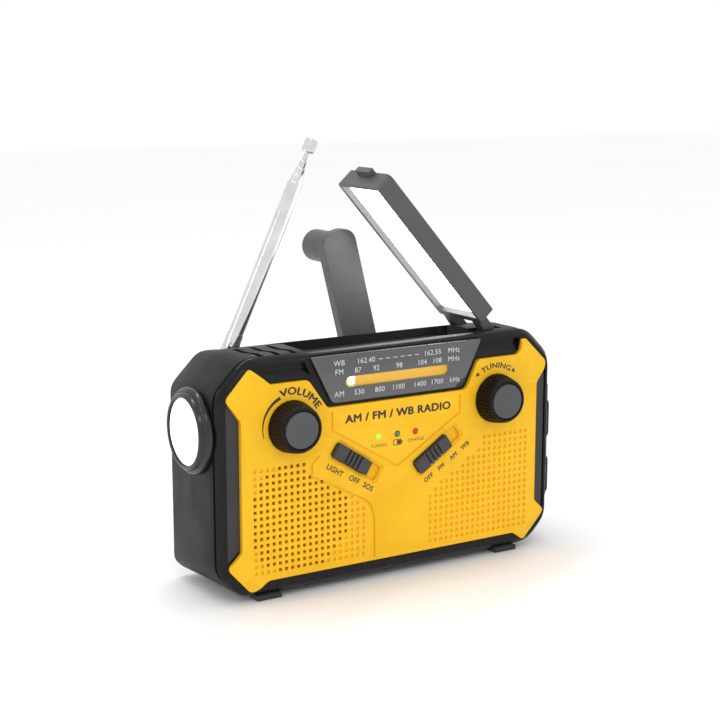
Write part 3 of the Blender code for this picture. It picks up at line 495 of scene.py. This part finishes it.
def make_camera():
    """Camera at the photograph's viewpoint."""
    azimuth, elevation = math.radians(VIEW_AZIMUTH), math.radians(VIEW_ELEVATION)
    back = Vector(
        (
            math.sin(azimuth) * math.cos(elevation),
            -math.cos(azimuth) * math.cos(elevation),
            math.sin(elevation),
        )
    )
    data = bpy.data.cameras.new("camera")
    data.lens = VIEW_LENS
    data.sensor_width = 36.0
    data.clip_start = 0.01
    camera = bpy.data.objects.new("camera", data)
    bpy.context.scene.collection.objects.link(camera)
    camera.location = front(*VIEW_PLACE)
    camera.rotation_euler = back.to_track_quat("Z", "Y").to_euler()
    bpy.context.scene.camera = camera


def add_area(name, place, aim, size, power, colour=(1.0, 1.0, 1.0)):
    data = bpy.data.lights.new(name, "AREA")
    data.shape = "RECTANGLE"
    data.size, data.size_y = size
    data.energy = power
    data.color = colour
    light = bpy.data.objects.new(name, data)
    bpy.context.scene.collection.objects.link(light)
    light.location = place
    light.rotation_euler = (Vector(place) - Vector(aim)).to_track_quat("Z", "Y").to_euler()


def make_studio():
    """White surroundings, three lamps and a paper floor."""
    scene = bpy.context.scene
    scene.view_settings.view_transform = "Standard"
    world = bpy.data.worlds.new("studio")
    world.use_nodes = True
    world.node_tree.nodes["Background"].inputs["Color"].default_value = (1.0, 1.0, 1.0, 1.0)
    world.node_tree.nodes["Background"].inputs["Strength"].default_value = 1.0
    scene.world = world
    aim = (0.0, 0.0, 0.06)
    add_area("key", (-0.35, -0.7, 0.75), aim, (0.2, 0.2), 1.0)
    add_area("left", (-0.75, 0.1, 0.3), aim, (0.02, 0.5), 0.6)
    add_area("top", (-0.1, 0.2, 0.85), aim, (0.9, 0.04), 1.8)
    floor_mesh = bpy.data.meshes.new("floor")
    reach = FLOOR_REACH
    corners = [(-reach, -reach, 0.0), (reach, -reach, 0.0), (reach, reach, 0.0), (-reach, reach, 0.0)]
    floor_mesh.from_pydata(corners, [], [(0, 1, 2, 3)])
    floor = bpy.data.objects.new("floor", floor_mesh)
    scene.collection.objects.link(floor)
    floor.location.z = FLOOR_Z - FLOOR_GAP
    look = Look("paper_floor", (0.96, 0.96, 0.96), 0.6)
    look.mottle(0.01, 0.4)
    floor_mesh.materials.append(look.material)


# ------------------------------------------------------------------ detailed pieces


def add_piece(name, mesh, look, body, slot, *nodes):
    """New piece from a mesh in world coordinates; it rides on a body and may stand for CAD nodes."""
    thing = bpy.data.objects.new(name, mesh)
    bpy.context.scene.collection.objects.link(thing)
    if look:
        paint(thing, look)
    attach(thing, body)
    if nodes:
        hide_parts(*nodes)
    return thing


def prism_bm(bm, outline, y0, y1):
    """Adds to bm the solid between two depths over an outline of x, z points in panel millimetres."""
    area = sum(a[0] * b[1] - b[0] * a[1] for a, b in zip(outline, outline[1:] + outline[:1]))
    if area < 0:
        outline = outline[::-1]
    near = [bm.verts.new(front(x, z, y0)) for x, z in outline]
    far = [bm.verts.new(front(x, z, y1)) for x, z in outline]
    bm.faces.new(near)
    bm.faces.new(far[::-1])
    count = len(outline)
    for index in range(count):
        after = (index + 1) % count
        bm.faces.new((near[after], near[index], far[index], far[after]))


def join_rings(bm, rings):
    """Faces between each closed ring of vertices and the next."""
    for first, second in zip(rings, rings[1:]):
        count = len(first)
        for index in range(count):
            after = (index + 1) % count
            bm.faces.new((first[index], first[after], second[after], second[index]))


def to_mesh(name, bm):
    mesh = bpy.data.meshes.new(name)
    bm.to_mesh(mesh)
    bm.free()
    return mesh


def ribbon(points, width):
    """Outline of a stroke of the given width along open points."""
    left, right = [], []
    count = len(points)
    for index, point in enumerate(points):
        here = Vector(point)
        before = (here - Vector(points[index - 1])).normalized() if index else None
        after = (Vector(points[index + 1]) - here).normalized() if index + 1 < count else None
        along = ((before or after) + (after or before)).normalized()
        across = Vector((-along.y, along.x))
        reach = width / 2
        if before and after:
            reach /= max(0.5, across.dot(Vector((-after.y, after.x))))
        left.append(tuple(here + across * reach))
        right.append(tuple(here - across * reach))
    return left + right[::-1]


def square_outline(x, z, half):
    return [(x - half, z - half), (x + half, z - half), (x + half, z + half), (x - half, z + half)]


def rounded_bar(centre, size, radius, turn=0.0, steps=6):
    """Outline of a rounded bar, turned by an angle in degrees."""
    half_x, half_z = size[0] / 2 - radius, size[1] / 2 - radius
    points = []
    for corner, (sx, sz) in enumerate(((1, 1), (-1, 1), (-1, -1), (1, -1))):
        for step in range(steps + 1):
            angle = math.radians(90.0 * (corner + step / steps))
            points.append((sx * half_x + radius * math.cos(angle), sz * half_z + radius * math.sin(angle)))
    spin = Matrix.Rotation(math.radians(turn), 2)
    return [tuple(spin @ Vector(point) + Vector(centre)) for point in points]


# Height of a capital letter as a share of the font's size
CAPITAL_SHARE = 0.72


def text_outline_mesh(text, height):
    """Flat mesh of a line of text, centred, with capitals of the given height in millimetres."""
    curve = bpy.data.curves.new("text", "FONT")
    curve.body = text
    curve.align_x = "CENTER"
    curve.align_y = "CENTER"
    curve.size = height / CAPITAL_SHARE
    curve.space_character = 1.06
    curve.resolution_u = 3
    holder = bpy.data.objects.new("text", curve)
    mesh = bpy.data.meshes.new_from_object(holder)
    bpy.data.objects.remove(holder)
    bpy.data.curves.remove(curve)
    return mesh


# Bold text is four shifted copies, each a little further forward by a step in millimetres
BOLD_SHIFTS = ((-1.0, -0.5), (1.0, -0.5), (0.0, 0.5), (0.0, -1.0))
LAYER = 0.002

INK_THICKNESS = 0.02


def print_text(name, text, place, height, look, y, turn=0.0, radius=None, bold=0.0, stretch=1.0):
    """Printed line of text; with a radius it bends round a centre below its middle."""
    flat = text_outline_mesh(text, height)
    bm = bmesh.new()
    shifts = [(bold * right, bold * up) for right, up in BOLD_SHIFTS] if bold else [(0.0, 0.0)]
    for layer, (du, dv) in enumerate(shifts):
        first = len(bm.verts)
        bm.from_mesh(flat)
        bm.verts.ensure_lookup_table()
        for vert in bm.verts[first:]:
            vert.co += Vector((du, dv, layer))
    bpy.data.meshes.remove(flat)
    spin = Matrix.Rotation(math.radians(turn), 2)
    for vert in bm.verts:
        u, v, layer = vert.co.x * stretch, vert.co.y, vert.co.z
        if radius:
            angle = u / radius
            u, v = (radius + v) * math.sin(angle), (radius + v) * math.cos(angle) - radius
        point = spin @ Vector((u, v)) + Vector(place)
        vert.co = front(point.x, point.y, y - LAYER * layer)
    for face in bm.faces:
        if face.normal.y > 0:
            face.normal_flip()
    return add_piece(name, to_mesh(name, bm), look, "case", slot_of(look))


def print_shapes(name, outlines, look, y):
    """Printed shapes on the case, as one piece; their backs are at depth y."""
    bm = bmesh.new()
    for outline in outlines:
        prism_bm(bm, outline, y - INK_THICKNESS, y)
    return add_piece(name, to_mesh(name, bm), look, "case", slot_of(look))


# Material slots of the printing's looks
SLOTS = {"black_ink": "black_plastic", "white_ink": "white_plastic", "silver_line": "steel"}


def slot_of(look):
    return SLOTS.get(look, look)


# ---------------------------------------------------------------- yellow panel

GRILLE_PITCH = 2.6
GRILLE_INNER = 15.5
GRILLE_LOW = 11.7
GRILLE_COLUMNS = 19
GRILLE_ROWS = 16
SPEAKER = (-43.0, 31.2)
SPEAKER_OPEN = 22.1
DIMPLE = 1.3
PANEL_THICKNESS = 2.5
DIMPLE_DEPTH = 0.42

# Squares in a row above the last full one: the edge less the slope for each row further up
GRILLE_SHORTEST_ROW = 9
GRILLE_LAST_FULL_ROW = 7
GRILLE_EDGE = 20.05
GRILLE_SLOPE = 1.52
PENTAGON = [(-29.3, 69.2), (-29.3, 62.2), (0.0, 44.6), (29.3, 62.2), (29.3, 69.2)]
POD_LINE = [
    (-34.9, 53.2),
    (-38.2, 50.2),
    (-38.2, 45.6),
    (-15.4, 33.6),
    (-12.2, 30.6),
    (-10.6, 26.0),
    (-10.4, 9.6),
]
LINE_WIDTH = 0.75
LINE_DEPTH = 0.42
SWITCH_TILT = 33.0
SWITCH_PLACES = ((-18.6, -SWITCH_TILT), (18.6, SWITCH_TILT))
SWITCH_Z = 48.6
SWITCH_RIM_SIZE = (25.2, 8.0)
SWITCH_RIM_DEPTH = 0.35

# Depth where a cutter starts, just in front of the panel's face
CUT_START = -0.3


def grille_centres(side):
    """Centres of one side's grille squares; the upper rows get shorter from the middle outwards."""
    for row in range(GRILLE_ROWS):
        wanted = int(GRILLE_EDGE - GRILLE_SLOPE * (row - GRILLE_LAST_FULL_ROW))
        filled = max(GRILLE_SHORTEST_ROW, min(GRILLE_COLUMNS, wanted))
        for column in range(GRILLE_COLUMNS - filled, GRILLE_COLUMNS):
            yield side * (GRILLE_INNER + column * GRILLE_PITCH), GRILLE_LOW + row * GRILLE_PITCH


def carve_copy(thing, cutter_mesh):
    """Cuts a mesh out of a piece and keeps the result as the piece's own mesh."""
    cutter = bpy.data.objects.new("cutter", cutter_mesh)
    bpy.context.scene.collection.objects.link(cutter)
    thing.modifiers.new("cut", "BOOLEAN").object = cutter
    thing.modifiers["cut"].solver = "EXACT"
    depsgraph = bpy.context.evaluated_depsgraph_get()
    cut = bpy.data.meshes.new_from_object(thing.evaluated_get(depsgraph))
    thing.modifiers.clear()
    old = thing.data
    thing.data = cut
    bpy.data.meshes.remove(old)
    bpy.data.objects.remove(cutter)
    bpy.data.meshes.remove(cutter_mesh)


def world_copy(node):
    """Mesh of a CAD node in world coordinates."""
    mesh = NODES[node].data.copy()
    mesh.transform(NODES[node].matrix_world)
    return mesh


def carve_outline(thing, name, outline, start, end):
    """Cuts one outline into a piece between two depths."""
    bm = bmesh.new()
    prism_bm(bm, outline, start, end)
    carve_copy(thing, to_mesh(name, bm))


def make_panel():
    """Yellow panel with open speaker holes, shallow dimples, engraved lines and switch rims."""
    copy = world_copy("front_panel")
    panel = add_piece("panel_detailed", copy, None, "case", "yellow_plastic", "front_panel")
    bm = bmesh.new()
    half = DIMPLE / 2
    for side in (-1, 1):
        for x, z in grille_centres(side):
            open_cell = side < 0 and math.hypot(x - SPEAKER[0], z - SPEAKER[1]) < SPEAKER_OPEN
            depth = PANEL_THICKNESS if open_cell else DIMPLE_DEPTH
            prism_bm(bm, square_outline(x, z, half), CUT_START, depth)
    carve_copy(panel, to_mesh("dimples", bm))
    carve_outline(panel, "pentagon", ribbon(PENTAGON, LINE_WIDTH), CUT_START, LINE_DEPTH)
    carve_outline(panel, "pod_line", ribbon(POD_LINE, LINE_WIDTH), CUT_START, LINE_DEPTH)
    for x, turn in SWITCH_PLACES:
        rim = rounded_bar((x, SWITCH_Z), SWITCH_RIM_SIZE, 1.6, turn)
        carve_outline(panel, "switch_rim", rim, CUT_START, SWITCH_RIM_DEPTH)
    paint(panel, "yellow_plastic")
    soften(panel, 0.00012, 2, dissolve=False)
    add_modifier(panel, "WEIGHTED_NORMAL", keep_sharp=True)
    smooth(panel)


STRIP = [(66.3, 22.6), (73.0, 16.3), (73.0, 76.8), (66.3, 69.4)]
STRIP_FRONT = 1.9
STRIP_BACK = 3.35


def make_side_strips():
    """Inlays on the floors of the sunk strips beside the yellow panel."""
    for side, name in ((-1, "left"), (1, "right")):
        bm = bmesh.new()
        prism_bm(bm, [(side * x, z) for x, z in STRIP], STRIP_FRONT, STRIP_BACK)
        strip = add_piece("strip_" + name, to_mesh("strip", bm), "strip_grey", "case", "black_plastic")
        soften(strip, 0.0002)
        smooth(strip)


# ---------------------------------------------------------------- knobs

KNOB_BASE_RADIUS = 9.95
KNOB_CAP_RADIUS = 6.95
KNOB_STEM_RADIUS = 3.0
FLUTES = 36
FLUTE_STEPS = 6


def knob_ring(radius, y, depth):
    """Ring of points round the Y axis with rounded flutes of the given depth."""
    count = FLUTES * FLUTE_STEPS
    ring = []
    for index in range(count):
        angle = math.tau * index / count
        wave = 0.5 - 0.5 * math.cos(angle * FLUTES)
        reach = radius - depth * wave**2
        ring.append((reach * math.cos(angle), y, reach * math.sin(angle)))
    return ring


def ring_mesh(name, rings, centre, closed_front=True, closed_back=False):
    """Skin over rings of points given in millimetres from a centre."""
    bm = bmesh.new()
    made = []
    for ring in rings:
        made.append([bm.verts.new(centre + Vector(p) * MM) for p in ring])
    join_rings(bm, made)
    if closed_front:
        bm.faces.new(made[0][::-1])
    if closed_back:
        bm.faces.new(made[-1])
    bmesh.ops.recalc_face_normals(bm, faces=bm.faces)
    return to_mesh(name, bm)


def make_knobs():
    """Each knob is a dark fluted skirt with a paler cap that stands in a thin groove."""
    for name in ("volume_knob", "tuning_knob"):
        low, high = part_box(name)
        centre = Vector(((low.x + high.x) / 2, low.y, (low.z + high.z) / 2))
        base = KNOB_BASE_RADIUS
        rings = [
            knob_ring(KNOB_CAP_RADIUS + 0.1, 0.9, 0.0),
            knob_ring(KNOB_CAP_RADIUS + 0.3, 0.3, 0.0),
            knob_ring(KNOB_CAP_RADIUS + 0.7, 0.12, 0.0),
            knob_ring(base - 1.75, 0.35, 0.05),
            knob_ring(base - 1.25, 1.0, 0.3),
            knob_ring(base - 0.95, 2.0, 0.4),
            knob_ring(base - 0.1, 6.9, 0.45),
            knob_ring(base, 7.4, 0.2),
            knob_ring(base, 8.05, 0.0),
            knob_ring(KNOB_STEM_RADIUS, 8.1, 0.0),
            knob_ring(KNOB_STEM_RADIUS, 13.5, 0.0),
        ]
        skirt_mesh = ring_mesh(name, rings, centre, False, True)
        skirt = add_piece(name + "_skirt", skirt_mesh, "fluted_black", name, "black_plastic", name)
        smooth(skirt, 50.0)
        cap_rings = [
            knob_ring(KNOB_CAP_RADIUS - 1.0, 0.02, 0.0),
            knob_ring(KNOB_CAP_RADIUS - 0.45, 0.07, 0.0),
            knob_ring(KNOB_CAP_RADIUS - 0.12, 0.25, 0.0),
            knob_ring(KNOB_CAP_RADIUS, 0.6, 0.0),
            knob_ring(KNOB_CAP_RADIUS, 1.6, 0.0),
        ]
        cap_mesh = ring_mesh(name, cap_rings, centre)
        cap = add_piece(name + "_cap", cap_mesh, "knob_cap", name, "black_plastic")
        smooth(cap, 50.0)


# ---------------------------------------------------------------- dial

DIAL_FACE = 0.12
DIAL_SLOT = ((0.7, 80.0), (47.6, 3.9))
PLATE_OUTLINE = [(26.7, 74.9), (33.3, 87.9), (-33.3, 87.9), (-26.7, 74.9)]
POINTER_SIZE = (2.8, 4.6)
BAND_NAME_X = -26.0
BAND_NAME_HEIGHT = 2.15
SCALE_HEIGHT = 2.05
SCALE_Y = DIAL_FACE - 0.03
DASHES = 6
DASH_START = -8.6
DASH_PITCH = 3.3
DASH_LENGTH = 1.9
DASH_WIDTH = 0.28
SCALE_Z = {"WB": 87.4, "FM": 84.0, "AM": 75.6}
SCALE_MARKS = {
    "WB": ((-14.2, "162.40"), (16.2, "162.55"), (26.3, "MHz")),
    "FM": ((-17.8, "87"), (-9.6, "92"), (0.8, "98"), (11.4, "104"), (18.4, "108"), (26.3, "MHz")),
    "AM": ((-17.2, "530"), (-8.0, "800"), (0.4, "1100"), (10.4, "1400"), (18.4, "1700"), (26.8, "kHz")),
}


def make_dial():
    """Printed mask with a slot over the dial plate, and a clear pane in the slot."""
    mask = add_piece("dial_mask", world_copy("dial_window"), None, "case", "window", "dial_window")
    centre, size = DIAL_SLOT
    carve_outline(mask, "slot", rounded_bar(centre, size, size[1] / 2 - 0.01), -3.0, 6.0)
    paint(mask, "window")
    soften(mask, 0.00018, 2)
    smooth(mask)
    bm = bmesh.new()
    prism_bm(bm, rounded_bar(centre, (size[0] - 0.1, size[1] - 0.1), size[1] / 2 - 0.08), 0.3, 0.8)
    pane = add_piece("dial_pane", to_mesh("pane", bm), "window_clear", "case", "window")
    smooth(pane)
    bm = bmesh.new()
    # The plate's look glows: painted light against the shadow in the slot.
    prism_bm(bm, PLATE_OUTLINE, 4.0, 5.0)
    plate_mesh = to_mesh("plate", bm)
    plate = add_piece("dial_plate_painted", plate_mesh, "dial_yellow", "case", "dial_yellow", "dial_plate")
    soften(plate, 0.0002)
    bm = bmesh.new()
    prism_bm(bm, rounded_bar(panel_place("dial_pointer"), POINTER_SIZE, 0.4), 2.6, 3.6)
    bar = to_mesh("pointer", bm)
    pointer = add_piece("pointer_bar", bar, "pointer", "dial_pointer", "white_plastic", "dial_pointer")
    soften(pointer, 0.0001)


def make_scale():
    """White printing on the dial mask: three rows, and dashes between the weather channels."""
    for row, marks in SCALE_MARKS.items():
        z = SCALE_Z[row]
        print_text(f"scale_{row}", row, (BAND_NAME_X, z), BAND_NAME_HEIGHT, "white_ink", SCALE_Y)
        for index, (x, text) in enumerate(marks):
            print_text(f"scale_{row}_{index}", text, (x, z), SCALE_HEIGHT, "white_ink", SCALE_Y)
    dashes = []
    for index in range(DASHES):
        x = DASH_START + index * DASH_PITCH
        dashes.append(ribbon([(x, SCALE_Z["WB"]), (x + DASH_LENGTH, SCALE_Z["WB"])], DASH_WIDTH))
    print_shapes("scale_dashes", dashes, "white_ink", DIAL_FACE - 0.01)


# ---------------------------------------------------------------- printing on the panel

KNOB_CENTRES = {"volume": (-46.8, 66.0), "tuning": (46.8, 66.0)}
KNOB_LABEL_RADIUS = 13.2
ARROW_RADIUS = 13.6
INK_Y = -0.015
TITLE_HEIGHT = 3.1
LED_LABEL_HEIGHT = 1.35
LIGHT_WORDS = (("LIGHT", -28.2, 46.6), ("OFF", -19.6, 41.7), ("SOS", -13.4, 38.0))
BAND_WORDS = (("OFF", 14.8, 37.6), ("FM", 20.8, 41.2), ("AM", 26.6, 44.8), ("WB", 32.2, 48.4))
SIGN_CENTRE = (0.0, 53.9)


def taper_stroke(centre, radius, start, end, wide, thin, steps=24):
    """Outline of an arc mark that narrows from one end to the other."""
    outer, inner = [], []
    for index in range(steps + 1):
        share = index / steps
        angle = math.radians(start + (end - start) * share)
        half = (wide + (thin - wide) * share) / 2
        for reach, side in ((radius + half, outer), (radius - half, inner)):
            side.append((centre[0] + reach * math.cos(angle), centre[1] + reach * math.sin(angle)))
    return outer + inner[::-1]


def polar(degrees):
    return Vector((math.cos(math.radians(degrees)), math.sin(math.radians(degrees))))


def make_knob_labels():
    """Name of each knob, bent round it; the volume knob's is larger and bolder."""
    for label, angle, height, bold in (("volume", 68.0, 2.8, 0.17), ("tuning", 88.0, 2.2, 0.09)):
        centre = KNOB_CENTRES[label]
        spot = (
            centre[0] + KNOB_LABEL_RADIUS * math.cos(math.radians(angle)),
            centre[1] + KNOB_LABEL_RADIUS * math.sin(math.radians(angle)),
        )
        print_text(
            label + "_label",
            label.upper(),
            spot,
            height,
            "black_ink",
            INK_Y,
            turn=angle - 90.0,
            radius=KNOB_LABEL_RADIUS,
            bold=bold,
            stretch=1.22,
        )


def make_knob_marks():
    """Swelling arc at the volume knob and two arrowheads at the tuning knob."""
    marks = [taper_stroke(KNOB_CENTRES["volume"], 12.0, 112.0, 196.0, 1.3, 0.25)]
    for angle, way in ((130.0, 1), (50.0, -1)):
        tip = Vector(KNOB_CENTRES["tuning"]) + ARROW_RADIUS * polar(angle)
        along = Vector((-math.sin(math.radians(angle)), math.cos(math.radians(angle)))) * way
        out = Vector((along.y, -along.x))
        corners = (
            tip + along * 1.4,
            tip + out * 0.9 - along * 0.5,
            tip - out * 0.9 - along * 0.5,
        )
        marks.append([tuple(corner) for corner in corners])
    print_shapes("knob_marks", marks, "black_ink", INK_Y + 0.01)


def make_words():
    """Words between the knobs and round the two slide switches."""
    title = "AM / FM / WB RADIO"
    print_text("band_title", title, (0.8, 65.6), TITLE_HEIGHT, "black_ink", INK_Y, bold=0.2, stretch=1.14)
    print_text("tuning_led_label", "TUNING", (-8.4, 53.6), LED_LABEL_HEIGHT, "black_ink", INK_Y)
    print_text("charge_led_label", "CHARGE", (8.6, 53.9), LED_LABEL_HEIGHT, "black_ink", INK_Y)
    groups = (
        ("light_", LIGHT_WORDS, 2.2, -SWITCH_TILT, 0.1),
        ("band_", BAND_WORDS, 2.0, SWITCH_TILT, 0.09),
    )
    for prefix, words, height, turn, bold in groups:
        for text, x, z in words:
            print_text(
                prefix + text, text, (x, z), height, "black_ink", INK_Y, turn=turn, bold=bold, stretch=0.92
            )


def make_battery_sign():
    """Outline of a battery with its charge and its terminal, between the indicator lamps."""
    outer = rounded_bar(SIGN_CENTRE, (3.8, 2.3), 0.4, 0.0, 3)
    inner = rounded_bar(SIGN_CENTRE, (3.2, 1.7), 0.25, 0.0, 3)
    strips = []
    count = len(outer)
    for index in range(count):
        after = (index + 1) % count
        strips.append([outer[index], outer[after], inner[after], inner[index]])
    strips.append([(-0.2, 53.15), (1.5, 53.15), (1.5, 54.65), (-0.2, 54.65)])
    strips.append([(1.9, 53.4), (2.3, 53.4), (2.3, 54.4), (1.9, 54.4)])
    print_shapes("battery_sign", strips, "black_ink", INK_Y + 0.01)


# ---------------------------------------------------------------- sliders


SLIDERS = (("light_switch_slider", "light_slider", -1), ("band_switch_slider", "band_slider", 1))
SLIDER_HALF = 8.7
SLIDER_TOP = -1.98
SLIDER_BACK = 1.15
GROOVES = (-3.0, -1.0, 1.0, 3.0)
GROOVE_FLOOR = -1.1

# Rows of points across a slider: distance from its middle line, and how far the row is sunk
SLIDER_ROWS = ((-2.8, 0.35), (-2.5, 0.0), (2.5, 0.0), (2.8, 0.35))


def slider_profile():
    """Section along a slider: distance from its middle, and depth."""
    profile = [(-SLIDER_HALF, SLIDER_BACK), (-SLIDER_HALF, -1.5), (-SLIDER_HALF + 0.5, SLIDER_TOP)]
    for groove in GROOVES:
        profile += [
            (groove - 0.55, SLIDER_TOP),
            (groove - 0.4, GROOVE_FLOOR),
            (groove + 0.4, GROOVE_FLOOR),
            (groove + 0.55, SLIDER_TOP),
        ]
    return profile + [(SLIDER_HALF - 0.5, SLIDER_TOP), (SLIDER_HALF, -1.5), (SLIDER_HALF, SLIDER_BACK)]


def make_sliders():
    """Slide switches with grooves across their tops."""
    for node, body, side in SLIDERS:
        turn = math.radians(SWITCH_TILT) * side
        along = Vector((math.cos(turn), 0.0, math.sin(turn)))
        across = Vector((-along.z, 0.0, along.x))
        centre = front(*panel_place(node))
        bm = bmesh.new()
        rows = []
        for v, sink in SLIDER_ROWS:
            row = []
            for u, y in slider_profile():
                depth = min(y + sink, SLIDER_BACK)
                row.append(bm.verts.new(centre + (along * u + across * v + Vector((0.0, depth, 0.0))) * MM))
            rows.append(row)
        join_rings(bm, rows)
        bm.faces.new(rows[0][::-1])
        bm.faces.new(rows[-1])
        bmesh.ops.recalc_face_normals(bm, faces=bm.faces)
        piece = add_piece(node + "_ribbed", to_mesh(node, bm), "grey_plastic", body, "black_plastic", node)
        soften(piece, 0.00012, 2)
        add_modifier(piece, "WEIGHTED_NORMAL", keep_sharp=True)
        smooth(piece)


# ---------------------------------------------------------------- flashlight


# Section of the bezel: x from the end that meets the case, and radius
BEZEL_PROFILE = [
    (0.0, 14.12),
    (0.0, 16.1),
    (-0.25, 16.28),
    (-1.4, 16.28),
    (-1.9, 16.1),
    (-2.35, 15.75),
    (-2.55, 15.4),
    (-2.6, 15.1),
    (-2.45, 14.9),
    (-2.5, 14.7),
    (-2.9, 14.5),
    (-3.6, 14.4),
    (-4.05, 14.15),
    (-4.35, 13.75),
    (-4.42, 13.3),
    (-4.38, 12.9),
    (-4.2, 12.65),
    (-3.95, 12.5),
]
BEZEL_STEPS = 96


def make_flashlight():
    """Bezel with a stepped, rounded rim."""
    low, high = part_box("flashlight_bezel")
    centre = Vector((high.x, (low.y + high.y) / 2, (low.z + high.z) / 2))
    rings = []
    for x, radius in BEZEL_PROFILE:
        ring = []
        for index in range(BEZEL_STEPS):
            angle = math.tau * index / BEZEL_STEPS
            ring.append((x, radius * math.cos(angle), radius * math.sin(angle)))
        rings.append(ring)
    mesh = ring_mesh("bezel", rings, centre, False, False)
    bezel = add_piece("bezel_stepped", mesh, "gloss_black", "case", "black_plastic", "flashlight_bezel")
    smooth(bezel, 60.0)


# ---------------------------------------------------------------- back and top


CROSS_ARM = (3.4, 0.8)
CROSS_TURNS = (30.0, 120.0)
CROSS_FRONT = 45.0
RIB_GAPS = 5
RIB_GAP_SIZE = (1.0, 8.0)
RIB_GAP_START = 3.0
RIB_GAP_PITCH = 2.0
RIB_GAP_Z = 17.0
RIB_GAP_FRONT = 45.5

# Depth just behind the case's back, where a cutter ends
CUT_END = 47.0


def make_screws():
    """Pan heads with a cross recess."""
    for row in ("lower", "upper"):
        for side in ("left", "right"):
            node = f"case_screw_{row}_{side}"
            screw = add_piece(node + "_cross", world_copy(node), None, "case", "steel", node)
            for turn in CROSS_TURNS:
                arm = rounded_bar(panel_place(node), CROSS_ARM, 0.2, turn, 2)
                carve_outline(screw, "recess", arm, CROSS_FRONT, CUT_END)
            paint(screw, "steel")
            soften(screw, 0.0001)
            smooth(screw)


def make_battery_door():
    """Door with a ribbed thumb patch."""
    copy = world_copy("battery_door")
    door = add_piece("battery_door_ribbed", copy, None, "case", "black_plastic", "battery_door")
    for index in range(RIB_GAPS):
        place = (RIB_GAP_START + index * RIB_GAP_PITCH, RIB_GAP_Z)
        gap = rounded_bar(place, RIB_GAP_SIZE, 0.45, 0.0, 3)
        carve_outline(door, "rib_gap", gap, RIB_GAP_FRONT, CUT_END)
    paint(door, "black_plastic")
    soften(door, 0.0002)
    smooth(door)


# Printed lines of the solar panel, in metres, and the open lid's lean in degrees
LID_LEAN = 48.3
SOLAR_BORDER = 0.0016
SOLAR_CELLS = 8
CELL_GAP_HALF = 0.00016
BUS_BAR_HALF = 0.0004
BUS_BAR_SHARES = (0.3, 0.7)


def make_solar_lines():
    """Cell gaps and two bus bars printed on the solar panel's outer face."""
    points = [vert.co for vert in world_copy("solar_panel").vertices]
    lean = math.radians(LID_LEAN)
    along = Vector((-math.cos(lean), 0.0, math.sin(lean)))
    across = Vector((0.0, 1.0, 0.0))
    out = Vector((math.sin(lean), 0.0, math.cos(lean)))
    spans = {}
    for key, axis in (("u", along), ("v", across), ("w", out)):
        values = [point.dot(axis) for point in points]
        spans[key] = (min(values), max(values))
    (u0, u1), (v0, v1) = spans["u"], spans["v"]
    top = spans["w"][1]
    border = SOLAR_BORDER
    strips = []
    for index in range(SOLAR_CELLS + 1):
        u = u0 + border + (u1 - u0 - 2 * border) * index / SOLAR_CELLS
        strips.append((u - CELL_GAP_HALF, u + CELL_GAP_HALF, v0 + border, v1 - border))
    for share in BUS_BAR_SHARES:
        v = v0 + (v1 - v0) * share
        strips.append((u0 + border, u1 - border, v - BUS_BAR_HALF, v + BUS_BAR_HALF))
    bm = bmesh.new()
    for a, b, c, d in strips:
        corners = []
        for height in (top - 0.00005, top + 0.00003):
            for u, v in ((a, c), (b, c), (b, d), (a, d)):
                corners.append(bm.verts.new(along * u + across * v + out * height))
        low, high = corners[:4], corners[4:]
        bm.faces.new(low[::-1])
        bm.faces.new(high)
        for index in range(4):
            after = (index + 1) % 4
            bm.faces.new((low[index], low[after], high[after], high[index]))
    bmesh.ops.recalc_face_normals(bm, faces=bm.faces)
    add_piece("solar_lines", to_mesh("solar_lines", bm), "silver_line", "lamp", "steel")


dress_cad()
make_panel()
make_side_strips()
make_knobs()
make_dial()
make_scale()
make_knob_labels()
make_knob_marks()
make_words()
make_battery_sign()
make_sliders()
make_flashlight()
make_screws()
make_battery_door()
make_solar_lines()
make_camera()
make_studio()
